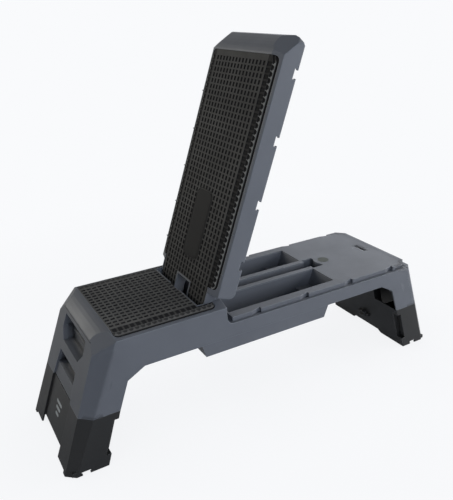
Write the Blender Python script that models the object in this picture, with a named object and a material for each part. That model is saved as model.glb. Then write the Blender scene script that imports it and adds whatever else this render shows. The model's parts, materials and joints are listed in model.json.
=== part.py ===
"""Folding exercise deck: a moulded step with fold-away legs and a backrest that lifts.

Metres, +Z up. The origin is on the floor under the middle of the deck, +X runs
along the deck towards the end that the backrest closes on, and the seat is at -X.
The model stands as it is used as a bench: legs down, backrest raised.
"""

import math

import bpy
import bmesh
from mathutils import Matrix, Vector

# Overall form
LENGTH = 1.100            # over the feet, on the floor
WIDTH = 0.3048            # over the feet, on the floor
DRAFT = 0.0119            # each side leans in by this much per unit of height
END_LEAN = 0.3592         # each end leans in by this much per unit of height
SEAT_TOP = 0.3155         # top of the pads with the backrest down
CREST_HEIGHT = 0.3050     # where the side walls turn over into the crown
CROWN_HALF = 0.117        # half width of the flat top between the crowns
RIDGE_HEIGHT = 0.2929     # top edge of the end faces
SHOULDER_REACH = 0.0403   # along X, from that edge to the pad
JOINT_HEIGHT = 0.1337     # underside of the deck ends, top of the legs
LEG_TOP_DEPTH = 0.089     # leg along X at the joint
ARCH_RISE = 0.2253        # underside of the side walls between the legs
ARCH_KNEE_HEIGHT = 0.2017
ARCH_KNEE_IN = 0.024      # from the leg's inner top corner to the knee, along X
ARCH_TOP_IN = 0.066       # and to where the underside runs level
LEDGE = 0.2605            # top edge of the side walls beside the tray block
WALL = 0.004
RIB = 0.0025
GAP = 0.0003              # between pieces that touch
PAD_THICK = 0.004
PLATE_THICK = 0.0035      # moulded plate below a pad

# Corner facets of the seat end (-1) and of the far end (1): the setback along the side at the
# floor, across the end face at the floor and at CORNER_TOP_HEIGHT, and the half width of the
# end face's straight top edge
CORNERS = {-1: (0.0220, 0.0184, 0.0282, 0.0920), 1: (0.0215, 0.0205, 0.0143, 0.1050)}
CORNER_TOP_HEIGHT = 0.2710

# Seat and backrest
SEAT_REAR = -0.1975       # cut-out of the seat that the backrest's tongue turns in
EAR_REAR = -0.1386        # rear of the ears beside that cut-out, at the top
EAR_HALF = 0.1178         # inner faces of the ears
EAR_FOOT = -0.1232        # rear of the ears, at the ledge
EAR_ROUND = 0.013
HINGE_X = -0.1701
HINGE_Z = 0.3026
RAISED_ANGLE = 71.2       # degrees above level
BACK_FRONT = -0.1350      # backrest side walls begin here when it lies flat
BACK_ROUND = 0.014
BACK_UNDER = 0.2609       # rim of the backrest shell when it lies flat
TONGUE_FRONT = -0.1935
TONGUE_HALF = 0.1165
TONGUE_UNDER = 0.2885
NOSE_CUT_X = 0.0169       # finger cut under the backrest's end
NOSE_CUT_Z = 0.0151
PAD_MARGIN = 0.0090       # moulded rim beside a pad
PAD_CORNER = 0.012
SEAT_PAD_FRONT = -0.4045
SEAT_RIM = 0.003
EAR_PAD_REAR = -0.1600
BACK_PAD_FRONT = -0.1225
BACK_PAD_END = 0.4000
FINGER_HALF = 0.032       # finger opening in the tongue
FINGER_END = -0.1440
FINGER_RIM = 0.004
RIM_GAP_HALF = 0.0275     # matching gap in the seat's rear rim
HINGE_PIN_RADIUS = 0.0035
HINGE_PIN_INNER = 0.1015
HINGE_PIN_OUTER = 0.1275
HINGE_BOSS = 0.0080
RUNNING = 0.0003          # radial clearance of pins in bores
BACK_RIB_UNDER = 0.2775   # lower edge of the backrest's ribs, clear of the block
BACK_RIB_PITCH = 0.095
BACK_RIB_HALVES = (0.0185, 0.062, 0.104)

# Band notches in the backrest's side walls and the recesses in the block beside them
NOTCH_FIRST = -0.0550
NOTCH_PITCH = 0.1432
NOTCH_COUNT = 4
NOTCH_MOUTH = 0.0176
NOTCH_INSIDE = 0.0216
NOTCH_LIP = 0.0035
NOTCH_DEEP = 0.0090
RECESS_LENGTH = 0.031
RECESS_DEEP = 0.008

# Tray block
BLOCK_TOP = 0.2720
BLOCK_HALF = 0.1420
BLOCK_FRONT = -0.1195
BLOCK_END = 0.4485
BLOCK_CORNER = 0.0215
BLOCK_SKIN = 0.003
OPENING_HALF = 0.1372     # opening in the ledge that the trays hang through
OPENING_END = 0.4420
TRAY_FRONT = -0.1160
TRAY_END = 0.2025
TRAY_INNER = 0.0310
TRAY_OUTER = 0.1170
TRAY_FLOOR = 0.1990
TRAY_STEP_X = 0.1450
TRAY_STEP_Z = 0.2290
TRAY_END_LEAN = 0.34      # run per rise of the far end wall
CHANNEL_HALF = 0.0160
CHANNEL_FLOOR = 0.2436
CATCH_WELL_END = 0.2400   # the channel ends in a wider well
CATCH_WELL_START = 0.2060
CATCH_WELL_HALF = 0.0275
PLUG_ISLAND = 0.0280      # radius of the flat left round the plug
PLUG_X = 0.2620
PLUG_RADIUS = 0.0150
SLOT_X = 0.4055
SLOT_Y = 0.0060
SLOT_LENGTH = 0.0430
SLOT_WIDTH = 0.0090
SLOT_SCREW_X = 0.0165
SLOT_SCREW_Y = 0.0135

# Belly pan under the trays
PAN_TOP = 0.2250
PAN_UNDER = 0.1920
PAN_FRONT_TOP = -0.2050
PAN_FRONT_UNDER = -0.1950
PAN_END_TOP = 0.1635
PAN_END_UNDER = 0.1510
PAN_HALF = 0.1475
PAN_SKIN = 0.003
PAN_SCREW_XS = (-0.165, 0.130)
PAN_SCREW_Y = 0.1300

# Prop that holds the backrest up
PROP_PIVOT_ALONG = 0.1700 # from the backrest hinge, along the backrest
PROP_PIVOT_BELOW = 0.0050 # and below the hinge
PROP_LENGTH = 0.2216
FOOT_RADIUS = 0.0040
FOOT_BELOW_HINGE = 0.0480
FOOT_HALF = 0.0140
PROP_EYE = 0.0075
PROP_HALF = 0.0100
PROP_PIN_RADIUS = 0.0035
PROP_PIN_HALF = 0.0225
TRACK_CREST_CLEAR = 0.0014
TRACK_SCALLOP = 0.0022
TRACK_PITCH = 0.0240
TRACK_START = -0.1080
TRACK_END = 0.2330

# Legs, given for the near leg at -X; the far leg is the same leg turned round
PIVOT_DROP = 0.0640       # from the leg pivot to the leg's outer face, and to the joint
PANEL_LEAN = 0.3060       # inner face of the leg leans out by this much per unit of height
LEG_FLOOR_DEPTH = 0.0960
LEG_LIFT = 0.0008         # the shell stands this far up, on its rubber feet
STRIP_INNER = 0.0715      # inner edge of the raised strips on the leg's end face
PANEL_SUNK = 0.0045
END_ARCH_HALF = 0.0715
END_ARCH_RISE = 0.0270
END_TOE_HALF = 0.1200
END_TOE_RISE = 0.0075
FOOT_NOTCHES = {-1: 0.0450, 1: 0.0585}  # band notch on each side, from the toe
TOE_FOOT = (0.0230, 0.1310)   # middle of a rubber foot, from the toe and from the middle
HEEL_FOOT = (0.0800, 0.1405)
FOOT_LENGTH = 0.0180
FOOT_WIDTH = 0.0095
FOOT_THICK = 0.0032
CORNER_POCKET_LOW = 0.0300
CORNER_POCKET_HIGH = 0.1150
CORNER_POCKET_IN = 0.0120
CORNER_POCKET_HALF = 0.1330
COVER_SKIN = 0.0035
COVER_ARCH_HALF = 0.0490
COVER_ARCH_RISE = 0.0100
TOWER_HALF = 0.0610
TOWER_SLOT_HALF = 0.0060
LUG_RADIUS = 0.0160
LUG_INNER = 0.0450
LUG_OUTER = 0.0570
AXLE_RADIUS = 0.0060
AXLE_HALF = 0.1400
AXLE_BOSS = 0.0130
AXLE_BOSS_INNER = 0.1280
DISC_RADIUS = 0.0300
DISC_HALF = 0.0025
DISC_NOTCH_DEEP = 0.0075
FOLD_ANGLE = 90.0 + math.degrees(math.atan(END_LEAN))
KNOB_DOWN = 0.1500        # from the pivot, along the cover
BOLT_THICK = 0.0050
BOLT_HALF = 0.0080
BOLT_CLEAR = 0.0005
CRANK_PIN_RADIUS = 0.0020
CRANK_THROW = 0.0060
KNOB_HUB = 0.0125
KNOB_WING = 0.0220
KNOB_SHAFT = 0.0050

# Hand grips in the end faces, as half widths at heights above the floor
GRIP_UPPER = ((0.0740, 0.2810), (0.0765, 0.2490), (0.0550, 0.2240))
GRIP_LOWER = ((0.0555, 0.2003), (0.0655, 0.1655))
SUNK_MARGIN = 0.0035      # sunk panel beyond the lower grip's top corners
SUNK_RISE = 0.0012        # and above its top edge
GRIP_DEPTH = 0.0260
GRIP_SKIN = 0.003
GRIP_SILL = 0.45          # share of the back wall that is closed

SHARP_ANGLE = math.radians(32.0)  # edges sharper than this stay crisp when shaded

HALF_LENGTH = LENGTH / 2
HALF_WIDTH = WIDTH / 2


def end_x(height):
    """Distance of the end faces from the middle at a height."""
    return HALF_LENGTH - END_LEAN * height


def side_y(height):
    """Half width of the deck at a height."""
    return HALF_WIDTH - DRAFT * height


PIVOT_Z = JOINT_HEIGHT + PIVOT_DROP + GAP
PIVOT_X = end_x(PIVOT_Z) - PIVOT_DROP * math.hypot(1.0, END_LEAN)
LEG_TOP_IN = end_x(JOINT_HEIGHT) - LEG_TOP_DEPTH

GREY = ("slate_polypropylene", (0.125, 0.145, 0.175), 0.45, 0.0)
LEG_BLACK = ("black_polypropylene", (0.022, 0.024, 0.026), 0.45, 0.0)
RUBBER = ("black_rubber", (0.020, 0.021, 0.021), 0.75, 0.0)
STEEL = ("zinc_plated_steel", (0.55, 0.56, 0.57), 0.35, 1.0)
SLATE_PLUG = ("slate_rubber", (0.16, 0.17, 0.17), 0.70, 0.0)


def material(spec):
    """Principled material for a name, colour, roughness and metallic value."""
    name, colour, roughness, metallic = spec
    found = bpy.data.materials.get(name)
    if found:
        return found
    made = bpy.data.materials.new(name)
    made.use_nodes = True
    shader = made.node_tree.nodes["Principled BSDF"]
    shader.inputs["Base Color"].default_value = (*colour, 1.0)
    shader.inputs["Roughness"].default_value = roughness
    shader.inputs["Metallic"].default_value = metallic
    return made


def mesh_object(name, bm):
    """Link the bmesh as a new object with outward faces."""
    bmesh.ops.recalc_face_normals(bm, faces=bm.faces)
    mesh = bpy.data.meshes.new(name)
    bm.to_mesh(mesh)
    bm.free()
    made = bpy.data.objects.new(name, mesh)
    bpy.context.scene.collection.objects.link(made)
    return made


def prism(outline, low, high, axis="Y"):
    """Extrude a closed outline from low to high along an axis.

    The outline's pairs are (x, z) for Y, (x, y) for Z and (y, z) for X.
    """
    place = {"Y": lambda a, b, c: (a, c, b),
             "Z": lambda a, b, c: (a, b, c),
             "X": lambda a, b, c: (c, a, b)}[axis]
    bm = bmesh.new()
    bottom = [bm.verts.new(place(a, b, low)) for a, b in outline]
    top = [bm.verts.new(place(a, b, high)) for a, b in outline]
    bm.faces.new(bottom[::-1])
    bm.faces.new(top)
    count = len(outline)
    for i in range(count):
        j = (i + 1) % count
        bm.faces.new((bottom[i], bottom[j], top[j], top[i]))
    return mesh_object("blank", bm)


def loft(lower, upper):
    """Closed solid between two outlines of as many points, given in three dimensions."""
    bm = bmesh.new()
    bottom = [bm.verts.new(point) for point in lower]
    top = [bm.verts.new(point) for point in upper]
    bm.faces.new(bottom[::-1])
    bm.faces.new(top)
    count = len(lower)
    for i in range(count):
        j = (i + 1) % count
        bm.faces.new((bottom[i], bottom[j], top[j], top[i]))
    return mesh_object("blank", bm)


def box(x, y, z):
    """Box between the low and high values of each axis."""
    return prism([(x[0], z[0]), (x[1], z[0]), (x[1], z[1]), (x[0], z[1])], y[0], y[1])


def rod(start, end, radius, sides=24):
    """Round bar between two points."""
    start, end = Vector(start), Vector(end)
    bm = bmesh.new()
    turn = (end - start).to_track_quat("Z", "Y").to_matrix().to_4x4()
    bmesh.ops.create_cone(bm, cap_ends=True, segments=sides, radius1=radius, radius2=radius,
                          depth=(end - start).length,
                          matrix=Matrix.Translation((start + end) / 2) @ turn)
    return mesh_object("blank", bm)


def combine(base, operation, *others):
    """Join, cut or intersect the base with each of the others, which are used up."""
    for other in others:
        step = base.modifiers.new("step", "BOOLEAN")
        step.operation = operation
        step.object = other
        step.solver = "EXACT"
        graph = bpy.context.evaluated_depsgraph_get()
        result = bpy.data.meshes.new_from_object(base.evaluated_get(graph))
        base.modifiers.clear()
        base.data = result
        bpy.data.objects.remove(other)
    return base


def join(base, *others):
    """Union."""
    return combine(base, "UNION", *others)


def cut(base, *others):
    """Difference."""
    return combine(base, "DIFFERENCE", *others)


def keep(base, *others):
    """Intersection."""
    return combine(base, "INTERSECT", *others)


def tidy(piece):
    """Dissolve the flat seams that Booleans leave."""
    bm = bmesh.new()
    bm.from_mesh(piece.data)
    bmesh.ops.remove_doubles(bm, verts=bm.verts, dist=0.00002)
    bmesh.ops.dissolve_degenerate(bm, dist=0.00001, edges=bm.edges)
    bmesh.ops.dissolve_limit(bm, angle_limit=math.radians(0.05), verts=bm.verts, edges=bm.edges)
    bmesh.ops.triangulate(bm, faces=bm.faces)
    bm.to_mesh(piece.data)
    bm.free()
    return piece


def finish(name, piece, spec, parent=None):
    """Name the piece, dress it, shade it and hang it on its parent without moving it."""
    tidy(piece)
    piece.name = name
    piece.data.name = name
    piece.data.materials.clear()
    piece.data.materials.append(material(spec))
    piece.data.shade_smooth()
    piece.data.set_sharp_from_angle(angle=SHARP_ANGLE)
    if parent:
        piece.parent = parent
        piece.matrix_parent_inverse = Matrix.Translation(parent.location).inverted()
    return piece


def pivot(name, location, parent=None):
    """Empty on a joint's axis."""
    empty = bpy.data.objects.new(name, None)
    empty.location = location
    bpy.context.scene.collection.objects.link(empty)
    if parent:
        bpy.context.view_layer.update()
        empty.parent = parent
        empty.matrix_parent_inverse = parent.matrix_world.inverted()
    return empty


def arc(centre, radius, start, end, steps):
    """Points on an arc, with the angles in degrees."""
    turn = [math.radians(start + (end - start) * i / steps) for i in range(steps + 1)]
    return [(centre[0] + radius * math.cos(a), centre[1] + radius * math.sin(a)) for a in turn]


def shoulder(inset=0.0, drop=0.0, steps=5):
    """Curve from the end face's top edge to the top, for the end at +X.

    A parabola that leaves the top level; inset moves it in and drop moves it down.
    """
    ridge = end_x(RIDGE_HEIGHT)
    points = []
    for i in range(steps + 1):
        share = i / steps
        x = ridge - SHOULDER_REACH * share
        z = SEAT_TOP - (SEAT_TOP - RIDGE_HEIGHT) * (1 - share) ** 1.7
        points.append((x - inset * (1 - END_LEAN) * (1 - share),
                       z - drop * share - inset * (1 - share)))
    return points


def cross_section(side_inset=0.0, top_inset=0.0, low=-0.01):
    """Outline across the deck: drafted sides under a crowned top."""
    low_y = side_y(low) - side_inset
    crest_y = side_y(CREST_HEIGHT) - side_inset
    return [(-low_y, low), (low_y, low), (crest_y, CREST_HEIGHT - top_inset),
            (CROWN_HALF, SEAT_TOP - top_inset), (-CROWN_HALF, SEAT_TOP - top_inset),
            (-crest_y, CREST_HEIGHT - top_inset)]


def corner_wedges(inset=0.0, ends=(-1, 1), spec=None):
    """Cutters for the facets down the corners of the ends.

    Each is a slab beyond the plane through three points: on the side wall and on the
    end face at the floor, and on the end face near its top.
    """
    cutters = []
    for sx in ends:
        along, across, across_top, _ = CORNERS[spec or sx]
        side = Vector((HALF_LENGTH - along, HALF_WIDTH, 0.0))
        foot = Vector((HALF_LENGTH, HALF_WIDTH - across, 0.0))
        head = Vector((end_x(CORNER_TOP_HEIGHT), side_y(CORNER_TOP_HEIGHT) - across_top,
                       CORNER_TOP_HEIGHT))
        normal = (foot - side).cross(head - side).normalized()
        if normal.x < 0:
            normal = -normal
        cutters += [slab_beyond(side - normal * inset, normal, sx, sy) for sy in (-1, 1)]
    return cutters


def crest_wedges(inset=0.0, ends=(-1, 1)):
    """Cutters for the small facets between an end face, its shoulder and the side."""
    cutters = []
    for sx in ends:
        _, _, across_top, crest_half = CORNERS[sx]
        ridge = Vector((end_x(RIDGE_HEIGHT), crest_half, RIDGE_HEIGHT))
        corner = Vector((end_x(CORNER_TOP_HEIGHT), side_y(CORNER_TOP_HEIGHT) - across_top,
                         CORNER_TOP_HEIGHT))
        crest = Vector((end_x(RIDGE_HEIGHT) - SHOULDER_REACH, side_y(CREST_HEIGHT) - 0.001,
                        CREST_HEIGHT))
        normal = (corner - ridge).cross(crest - ridge).normalized()
        if normal.z < 0:
            normal = -normal
        cutters += [slab_beyond(ridge - normal * inset, normal, sx, sy) for sy in (-1, 1)]
    return cutters


def slab_beyond(point, normal, sx, sy, reach=0.30, thick=0.12):
    """Large square slab on the outer side of a plane, mirrored by the two signs."""
    point = Vector((point.x * sx, point.y * sy, point.z))
    normal = Vector((normal.x * sx, normal.y * sy, normal.z))
    across = normal.orthogonal().normalized()
    up = normal.cross(across)
    corners = [point + across * a + up * b
               for a, b in ((-reach, -reach), (reach, -reach), (reach, reach), (-reach, reach))]
    return loft(corners, [corner + normal * thick for corner in corners])


def crowned(outline, side_inset=0.0, top_inset=0.0, end_inset=0.0, ends=(-1, 1)):
    """Solid of a side outline, kept to the cross-section and faceted at the corners."""
    blank = prism(outline, -HALF_WIDTH, HALF_WIDTH)
    keep(blank, prism(cross_section(side_inset, top_inset), -LENGTH, LENGTH, "X"))
    cut(blank, *corner_wedges(end_inset, ends))
    return cut(blank, *crest_wedges(top_inset, ends))


def mirrored(points):
    """Outline points on the other side of the vertical through the middle."""
    return [(-x, z) for x, z in points]


def deck_blank():
    """The deck's outer form, filled."""
    knee = LEG_TOP_IN - ARCH_KNEE_IN
    level = LEG_TOP_IN - ARCH_TOP_IN
    ear = [(EAR_REAR, SEAT_TOP), (EAR_REAR + 0.001, LEDGE + EAR_ROUND + 0.003)]
    ear += [(x, z) for x, z in
            arc((EAR_FOOT + 0.001, LEDGE + EAR_ROUND), EAR_ROUND, 195, 262, 4)]
    outline = [(-end_x(JOINT_HEIGHT), JOINT_HEIGHT)] + mirrored(shoulder()) + ear
    outline += [(EAR_FOOT + 0.004, LEDGE), (end_x(LEDGE), LEDGE),
                (end_x(JOINT_HEIGHT), JOINT_HEIGHT), (LEG_TOP_IN, JOINT_HEIGHT),
                (knee, ARCH_KNEE_HEIGHT), (level, ARCH_RISE), (-level, ARCH_RISE),
                (-knee, ARCH_KNEE_HEIGHT), (-LEG_TOP_IN, JOINT_HEIGHT)]
    return crowned(outline)


def deck_hollow():
    """What the deck's outer form is hollowed by, open downwards."""
    low = 0.05
    under = PAD_THICK + PLATE_THICK
    wall = WALL * math.hypot(1.0, END_LEAN)
    seat = [(-end_x(low) + wall, low)] + mirrored(shoulder(wall, under))
    seat += [(EAR_REAR - WALL, SEAT_TOP - under), (EAR_REAR - WALL, LEDGE - WALL)]
    outline = seat + [(end_x(LEDGE - WALL) - wall, LEDGE - WALL), (end_x(low) - wall, low)]
    return crowned(outline, WALL, under, WALL)


def grip_points(shape, grow=0.0):
    """Closed (y, z) outline of a hand grip, symmetric about the middle."""
    right = [(half + grow, height) for half, height in shape]
    right[0] = (right[0][0], right[0][1] + grow)
    right[-1] = (right[-1][0], right[-1][1] - grow)
    return right + [(-y, z) for y, z in right[::-1]]


def grip_block(shape, end, start, depth, grow=0.0):
    """Solid of a grip's outline from start to depth behind the end face, level."""
    outline = grip_points(shape, grow)
    return loft([(end * (end_x(z) - start), y, z) for y, z in outline],
                [(end * (end_x(z) - depth), y, z) for y, z in outline])


def cut_grip(shell, shape, end):
    """Mould a hand grip into an end face: a sill, a back wall and a finger opening."""
    low, high = shape[-1][1], shape[0][1]
    join(shell, grip_block(shape, end, WALL / 2, GRIP_DEPTH + GRIP_SKIN, GRIP_SKIN))
    cut(shell, grip_block(shape, end, -0.02, GRIP_DEPTH))
    sill = low + (high - low) * GRIP_SILL
    half = shape[0][0] - 0.012
    window = ((half, high - 0.004), (half, sill))
    cut(shell, grip_block(window, end, GRIP_DEPTH - 0.004, GRIP_DEPTH + 0.012))
    bar_z = sill - 0.002
    bar_x = end_x(bar_z) - (GRIP_DEPTH - 0.0015)
    bar = box(sorted((end * (bar_x - 0.002), end * (bar_x + 0.0035))),
              (-half, half), (bar_z - 0.008, bar_z - 0.004))
    return join(shell, bar)


def sunk_panel(end, start, depth, low, grow=0.0):
    """Block over the sunk panel that runs from the lower grip down to the leg's panel."""
    half, high = GRIP_LOWER[0]
    shape = ((half + SUNK_MARGIN, high + SUNK_RISE), (STRIP_INNER, low))
    return grip_block(shape, end, start, depth, grow)


def grown(outline, amount):
    """Outline moved outwards by an amount; points run either way round."""
    count = len(outline)
    area = sum(outline[i][0] * outline[(i + 1) % count][1]
               - outline[(i + 1) % count][0] * outline[i][1] for i in range(count))
    side = 1.0 if area > 0 else -1.0
    result = []
    for i in range(count):
        before = Vector(outline[i]) - Vector(outline[i - 1])
        after = Vector(outline[(i + 1) % count]) - Vector(outline[i])
        first = Vector((before.y, -before.x)).normalized() * side
        second = Vector((after.y, -after.x)).normalized() * side
        bisector = (first + second).normalized()
        reach = amount / max(0.3, bisector.dot(first))
        result.append((outline[i][0] + bisector.x * reach, outline[i][1] + bisector.y * reach))
    return result


def seat_pad_plan(grow=0.0):
    """Plan of the seat pad, with its ears beside the cut-out."""
    half = side_y(CREST_HEIGHT) - PAD_MARGIN
    front = arc((SEAT_PAD_FRONT + PAD_CORNER, half - PAD_CORNER), PAD_CORNER, 180, 90, 4)
    rear = arc((EAR_PAD_REAR - PAD_CORNER, half - PAD_CORNER), PAD_CORNER, 90, 0, 4)
    inner = [(EAR_PAD_REAR, EAR_HALF + 0.0010), (SEAT_REAR - SEAT_RIM, EAR_HALF + 0.0010)]
    upper = front + rear + inner
    return grown(upper + [(x, -y) for x, y in upper[::-1]], grow)


def back_pad_plan(grow=0.0):
    """Plan of the backrest pad, with its tongue round the finger opening."""
    half = side_y(CREST_HEIGHT) - PAD_MARGIN
    narrow = TONGUE_HALF - 0.0035
    opening = FINGER_HALF + FINGER_RIM + 0.0005
    front = TONGUE_FRONT + 0.0030
    upper = [(FINGER_END + FINGER_RIM + 0.0005, 0.0), (FINGER_END + FINGER_RIM + 0.0005, opening),
             (front, opening), (front, narrow), (BACK_PAD_FRONT, narrow)]
    upper += arc((BACK_PAD_FRONT + PAD_CORNER, half - PAD_CORNER), PAD_CORNER, 180, 90, 4)
    upper += arc((BACK_PAD_END - PAD_CORNER, half - PAD_CORNER), PAD_CORNER, 90, 0, 4)
    lower = [(x, -y) for x, y in upper[1:][::-1]]
    return grown(upper[1:] + lower, grow)


def top_form(drop):
    """Filled form under the crown, a drop below the outer surface, for pads."""
    outline = [(-0.6, 0.2)] + mirrored(shoulder(drop, drop)) + shoulder(drop, drop)[::-1]
    outline = [(-end_x(0.2), 0.2)] + outline[1:] + [(end_x(0.2), 0.2)]
    blank = prism(outline, -HALF_WIDTH, HALF_WIDTH)
    return keep(blank, prism(cross_section(0.0, drop, 0.15), -LENGTH, LENGTH, "X"))


def pad(plan, thickness):
    """Pad of a plan that follows the crown."""
    made = prism(plan, 0.25, 0.35, "Z")
    keep(made, top_form(0.0))
    return cut(made, top_form(thickness))


def pad_recess(plan, thickness):
    """Cutter for the recess that a pad lies in."""
    made = prism(plan, 0.25, 0.35, "Z")
    return cut(made, top_form(thickness))


def seat_structure(shell):
    """Rear wall, ear walls, hinge bosses and ribs of the seat."""
    under = SEAT_TOP - PAD_THICK - PLATE_THICK
    roof = under + 0.001
    foot = ARCH_RISE + 0.0150
    cut(shell, box((SEAT_REAR, EAR_REAR + 0.02), (-EAR_HALF, EAR_HALF), (foot - 0.03, 0.34)))
    join(shell, box((SEAT_REAR - WALL, SEAT_REAR), (-EAR_HALF - WALL, EAR_HALF + WALL),
                    (foot, roof)))
    join(shell, box((SEAT_REAR - SEAT_RIM, SEAT_REAR), (-EAR_HALF, EAR_HALF), (foot, SEAT_TOP)))
    for side in (-1, 1):
        wall = sorted((side * EAR_HALF, side * (EAR_HALF + WALL)))
        join(shell, box((SEAT_REAR - WALL, EAR_REAR + 0.0005), wall, (LEDGE - WALL, roof)))
        boss = rod((HINGE_X, side * EAR_HALF, HINGE_Z - 0.0005),
                   (HINGE_X, side * (HINGE_PIN_OUTER + 0.004), HINGE_Z - 0.0005), 0.0095)
        join(shell, boss)
        bore = rod((HINGE_X, side * (EAR_HALF - 0.01), HINGE_Z),
                   (HINGE_X, side * (HINGE_PIN_OUTER + GAP), HINGE_Z),
                   HINGE_PIN_RADIUS + RUNNING)
        cut(shell, bore)
    cut(shell, box((SEAT_REAR - SEAT_RIM - 0.002, SEAT_REAR + 0.001),
                   (-RIM_GAP_HALF, RIM_GAP_HALF), (0.2935, 0.33)))
    return shell


def seat_ribs(shell):
    """Ribs under the seat, high enough for the folded legs."""
    roof = SEAT_TOP - PAD_THICK - PLATE_THICK + 0.001
    foot = ARCH_RISE + 0.0070
    reach = side_y(ARCH_RISE) - WALL / 2
    below = PAD_THICK + PLATE_THICK - 0.0005
    for x in (-0.335, -0.290, -0.245):
        rib = box((x - RIB / 2, x + RIB / 2), (-reach, reach), (foot, SEAT_TOP))
        keep(rib, prism(cross_section(WALL / 2, below), x - RIB, x + RIB, "X"))
        join(shell, rib)
    for y in (-0.085, -0.040, 0.040, 0.085):
        join(shell, box((-0.345, SEAT_REAR - 0.001), (y - RIB / 2, y + RIB / 2),
                        (foot + 0.002, roof)))
    return shell


def axle_bosses(shell):
    """Blind bosses that the leg axles turn in."""
    for end in (-1, 1):
        for side in (-1, 1):
            outer = side_y(PIVOT_Z) - WALL / 2
            x = end * PIVOT_X
            join(shell, rod((x, side * AXLE_BOSS_INNER, PIVOT_Z), (x, side * outer, PIVOT_Z),
                            AXLE_BOSS))
            cut(shell, rod((x, side * (AXLE_BOSS_INNER - 0.01), PIVOT_Z),
                           (x, side * (AXLE_HALF + GAP), PIVOT_Z), AXLE_RADIUS + GAP))
    return shell


def pan_bosses(shell):
    """Blocks on the side walls that the belly pan is screwed to."""
    outer = side_y(PAN_TOP) - WALL / 2
    for x in PAN_SCREW_XS:
        for side in (-1, 1):
            inner = PAN_SCREW_Y - 0.006
            y = sorted((side * inner, side * outer))
            join(shell, box((x - 0.006, x + 0.006), y, (ARCH_RISE, ARCH_RISE + 0.022)))
            cut(shell, rod((x, side * PAN_SCREW_Y, ARCH_RISE - 0.01),
                           (x, side * PAN_SCREW_Y, ARCH_RISE + 0.012), 0.0020 + GAP, 12))
    return shell


def build_deck_shell():
    """Moulded deck: seat, both ends, side walls and the ledge round the tray block."""
    shell = deck_blank()
    cut(shell, deck_hollow())
    cut(shell, box((TRAY_FRONT - RIB - 2 * GAP, OPENING_END), (-OPENING_HALF, OPENING_HALF),
                   (LEDGE - 0.02, LEDGE + 0.02)))
    seat_structure(shell)
    seat_ribs(shell)
    axle_bosses(shell)
    pan_bosses(shell)
    run = PANEL_SUNK * math.hypot(1.0, END_LEAN)
    for end in (-1, 1):
        join(shell, sunk_panel(end, WALL / 2, run + WALL, JOINT_HEIGHT + 0.0035, 0.003))
    for shape, end in ((GRIP_UPPER, -1), (GRIP_LOWER, -1), (GRIP_LOWER, 1)):
        cut_grip(shell, shape, end)
    for end in (-1, 1):
        cut(shell, sunk_panel(end, -0.02, run, JOINT_HEIGHT - 0.02))
    cut(shell, pad_recess(seat_pad_plan(GAP), PAD_THICK + GAP))
    return finish("deck_shell", shell, GREY)


def build_seat_pad():
    """Studded rubber pad of the seat."""
    return finish("seat_pad", pad(seat_pad_plan(), PAD_THICK), RUBBER)


def block_plan(inset=0.0):
    """Plan of the tray block, with its two cut corners."""
    half = BLOCK_HALF - inset
    end = BLOCK_END - inset
    front = BLOCK_FRONT + inset
    corner = BLOCK_CORNER - inset * 0.4
    return [(front, -half), (end - corner, -half), (end, -half + corner),
            (end, half - corner), (end - corner, half), (front, half)]


def notch_centres():
    """X of each band notch with the backrest flat."""
    return [NOTCH_FIRST + NOTCH_PITCH * i for i in range(NOTCH_COUNT)]


def tray_outline(skin, top):
    """Side outline of a tray, whose far end steps up and slopes to clear the folded leg."""
    lean = TRAY_END_LEAN
    far_top = TRAY_END + skin + lean * (top - BLOCK_TOP)
    far_low = TRAY_END + skin - lean * (BLOCK_TOP - TRAY_STEP_Z + skin)
    return [(TRAY_FRONT - skin, top), (TRAY_FRONT - skin, TRAY_FLOOR - skin),
            (TRAY_STEP_X + skin, TRAY_FLOOR - skin), (TRAY_STEP_X + skin, TRAY_STEP_Z - skin),
            (far_low, TRAY_STEP_Z - skin), (far_top, top)]


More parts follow.
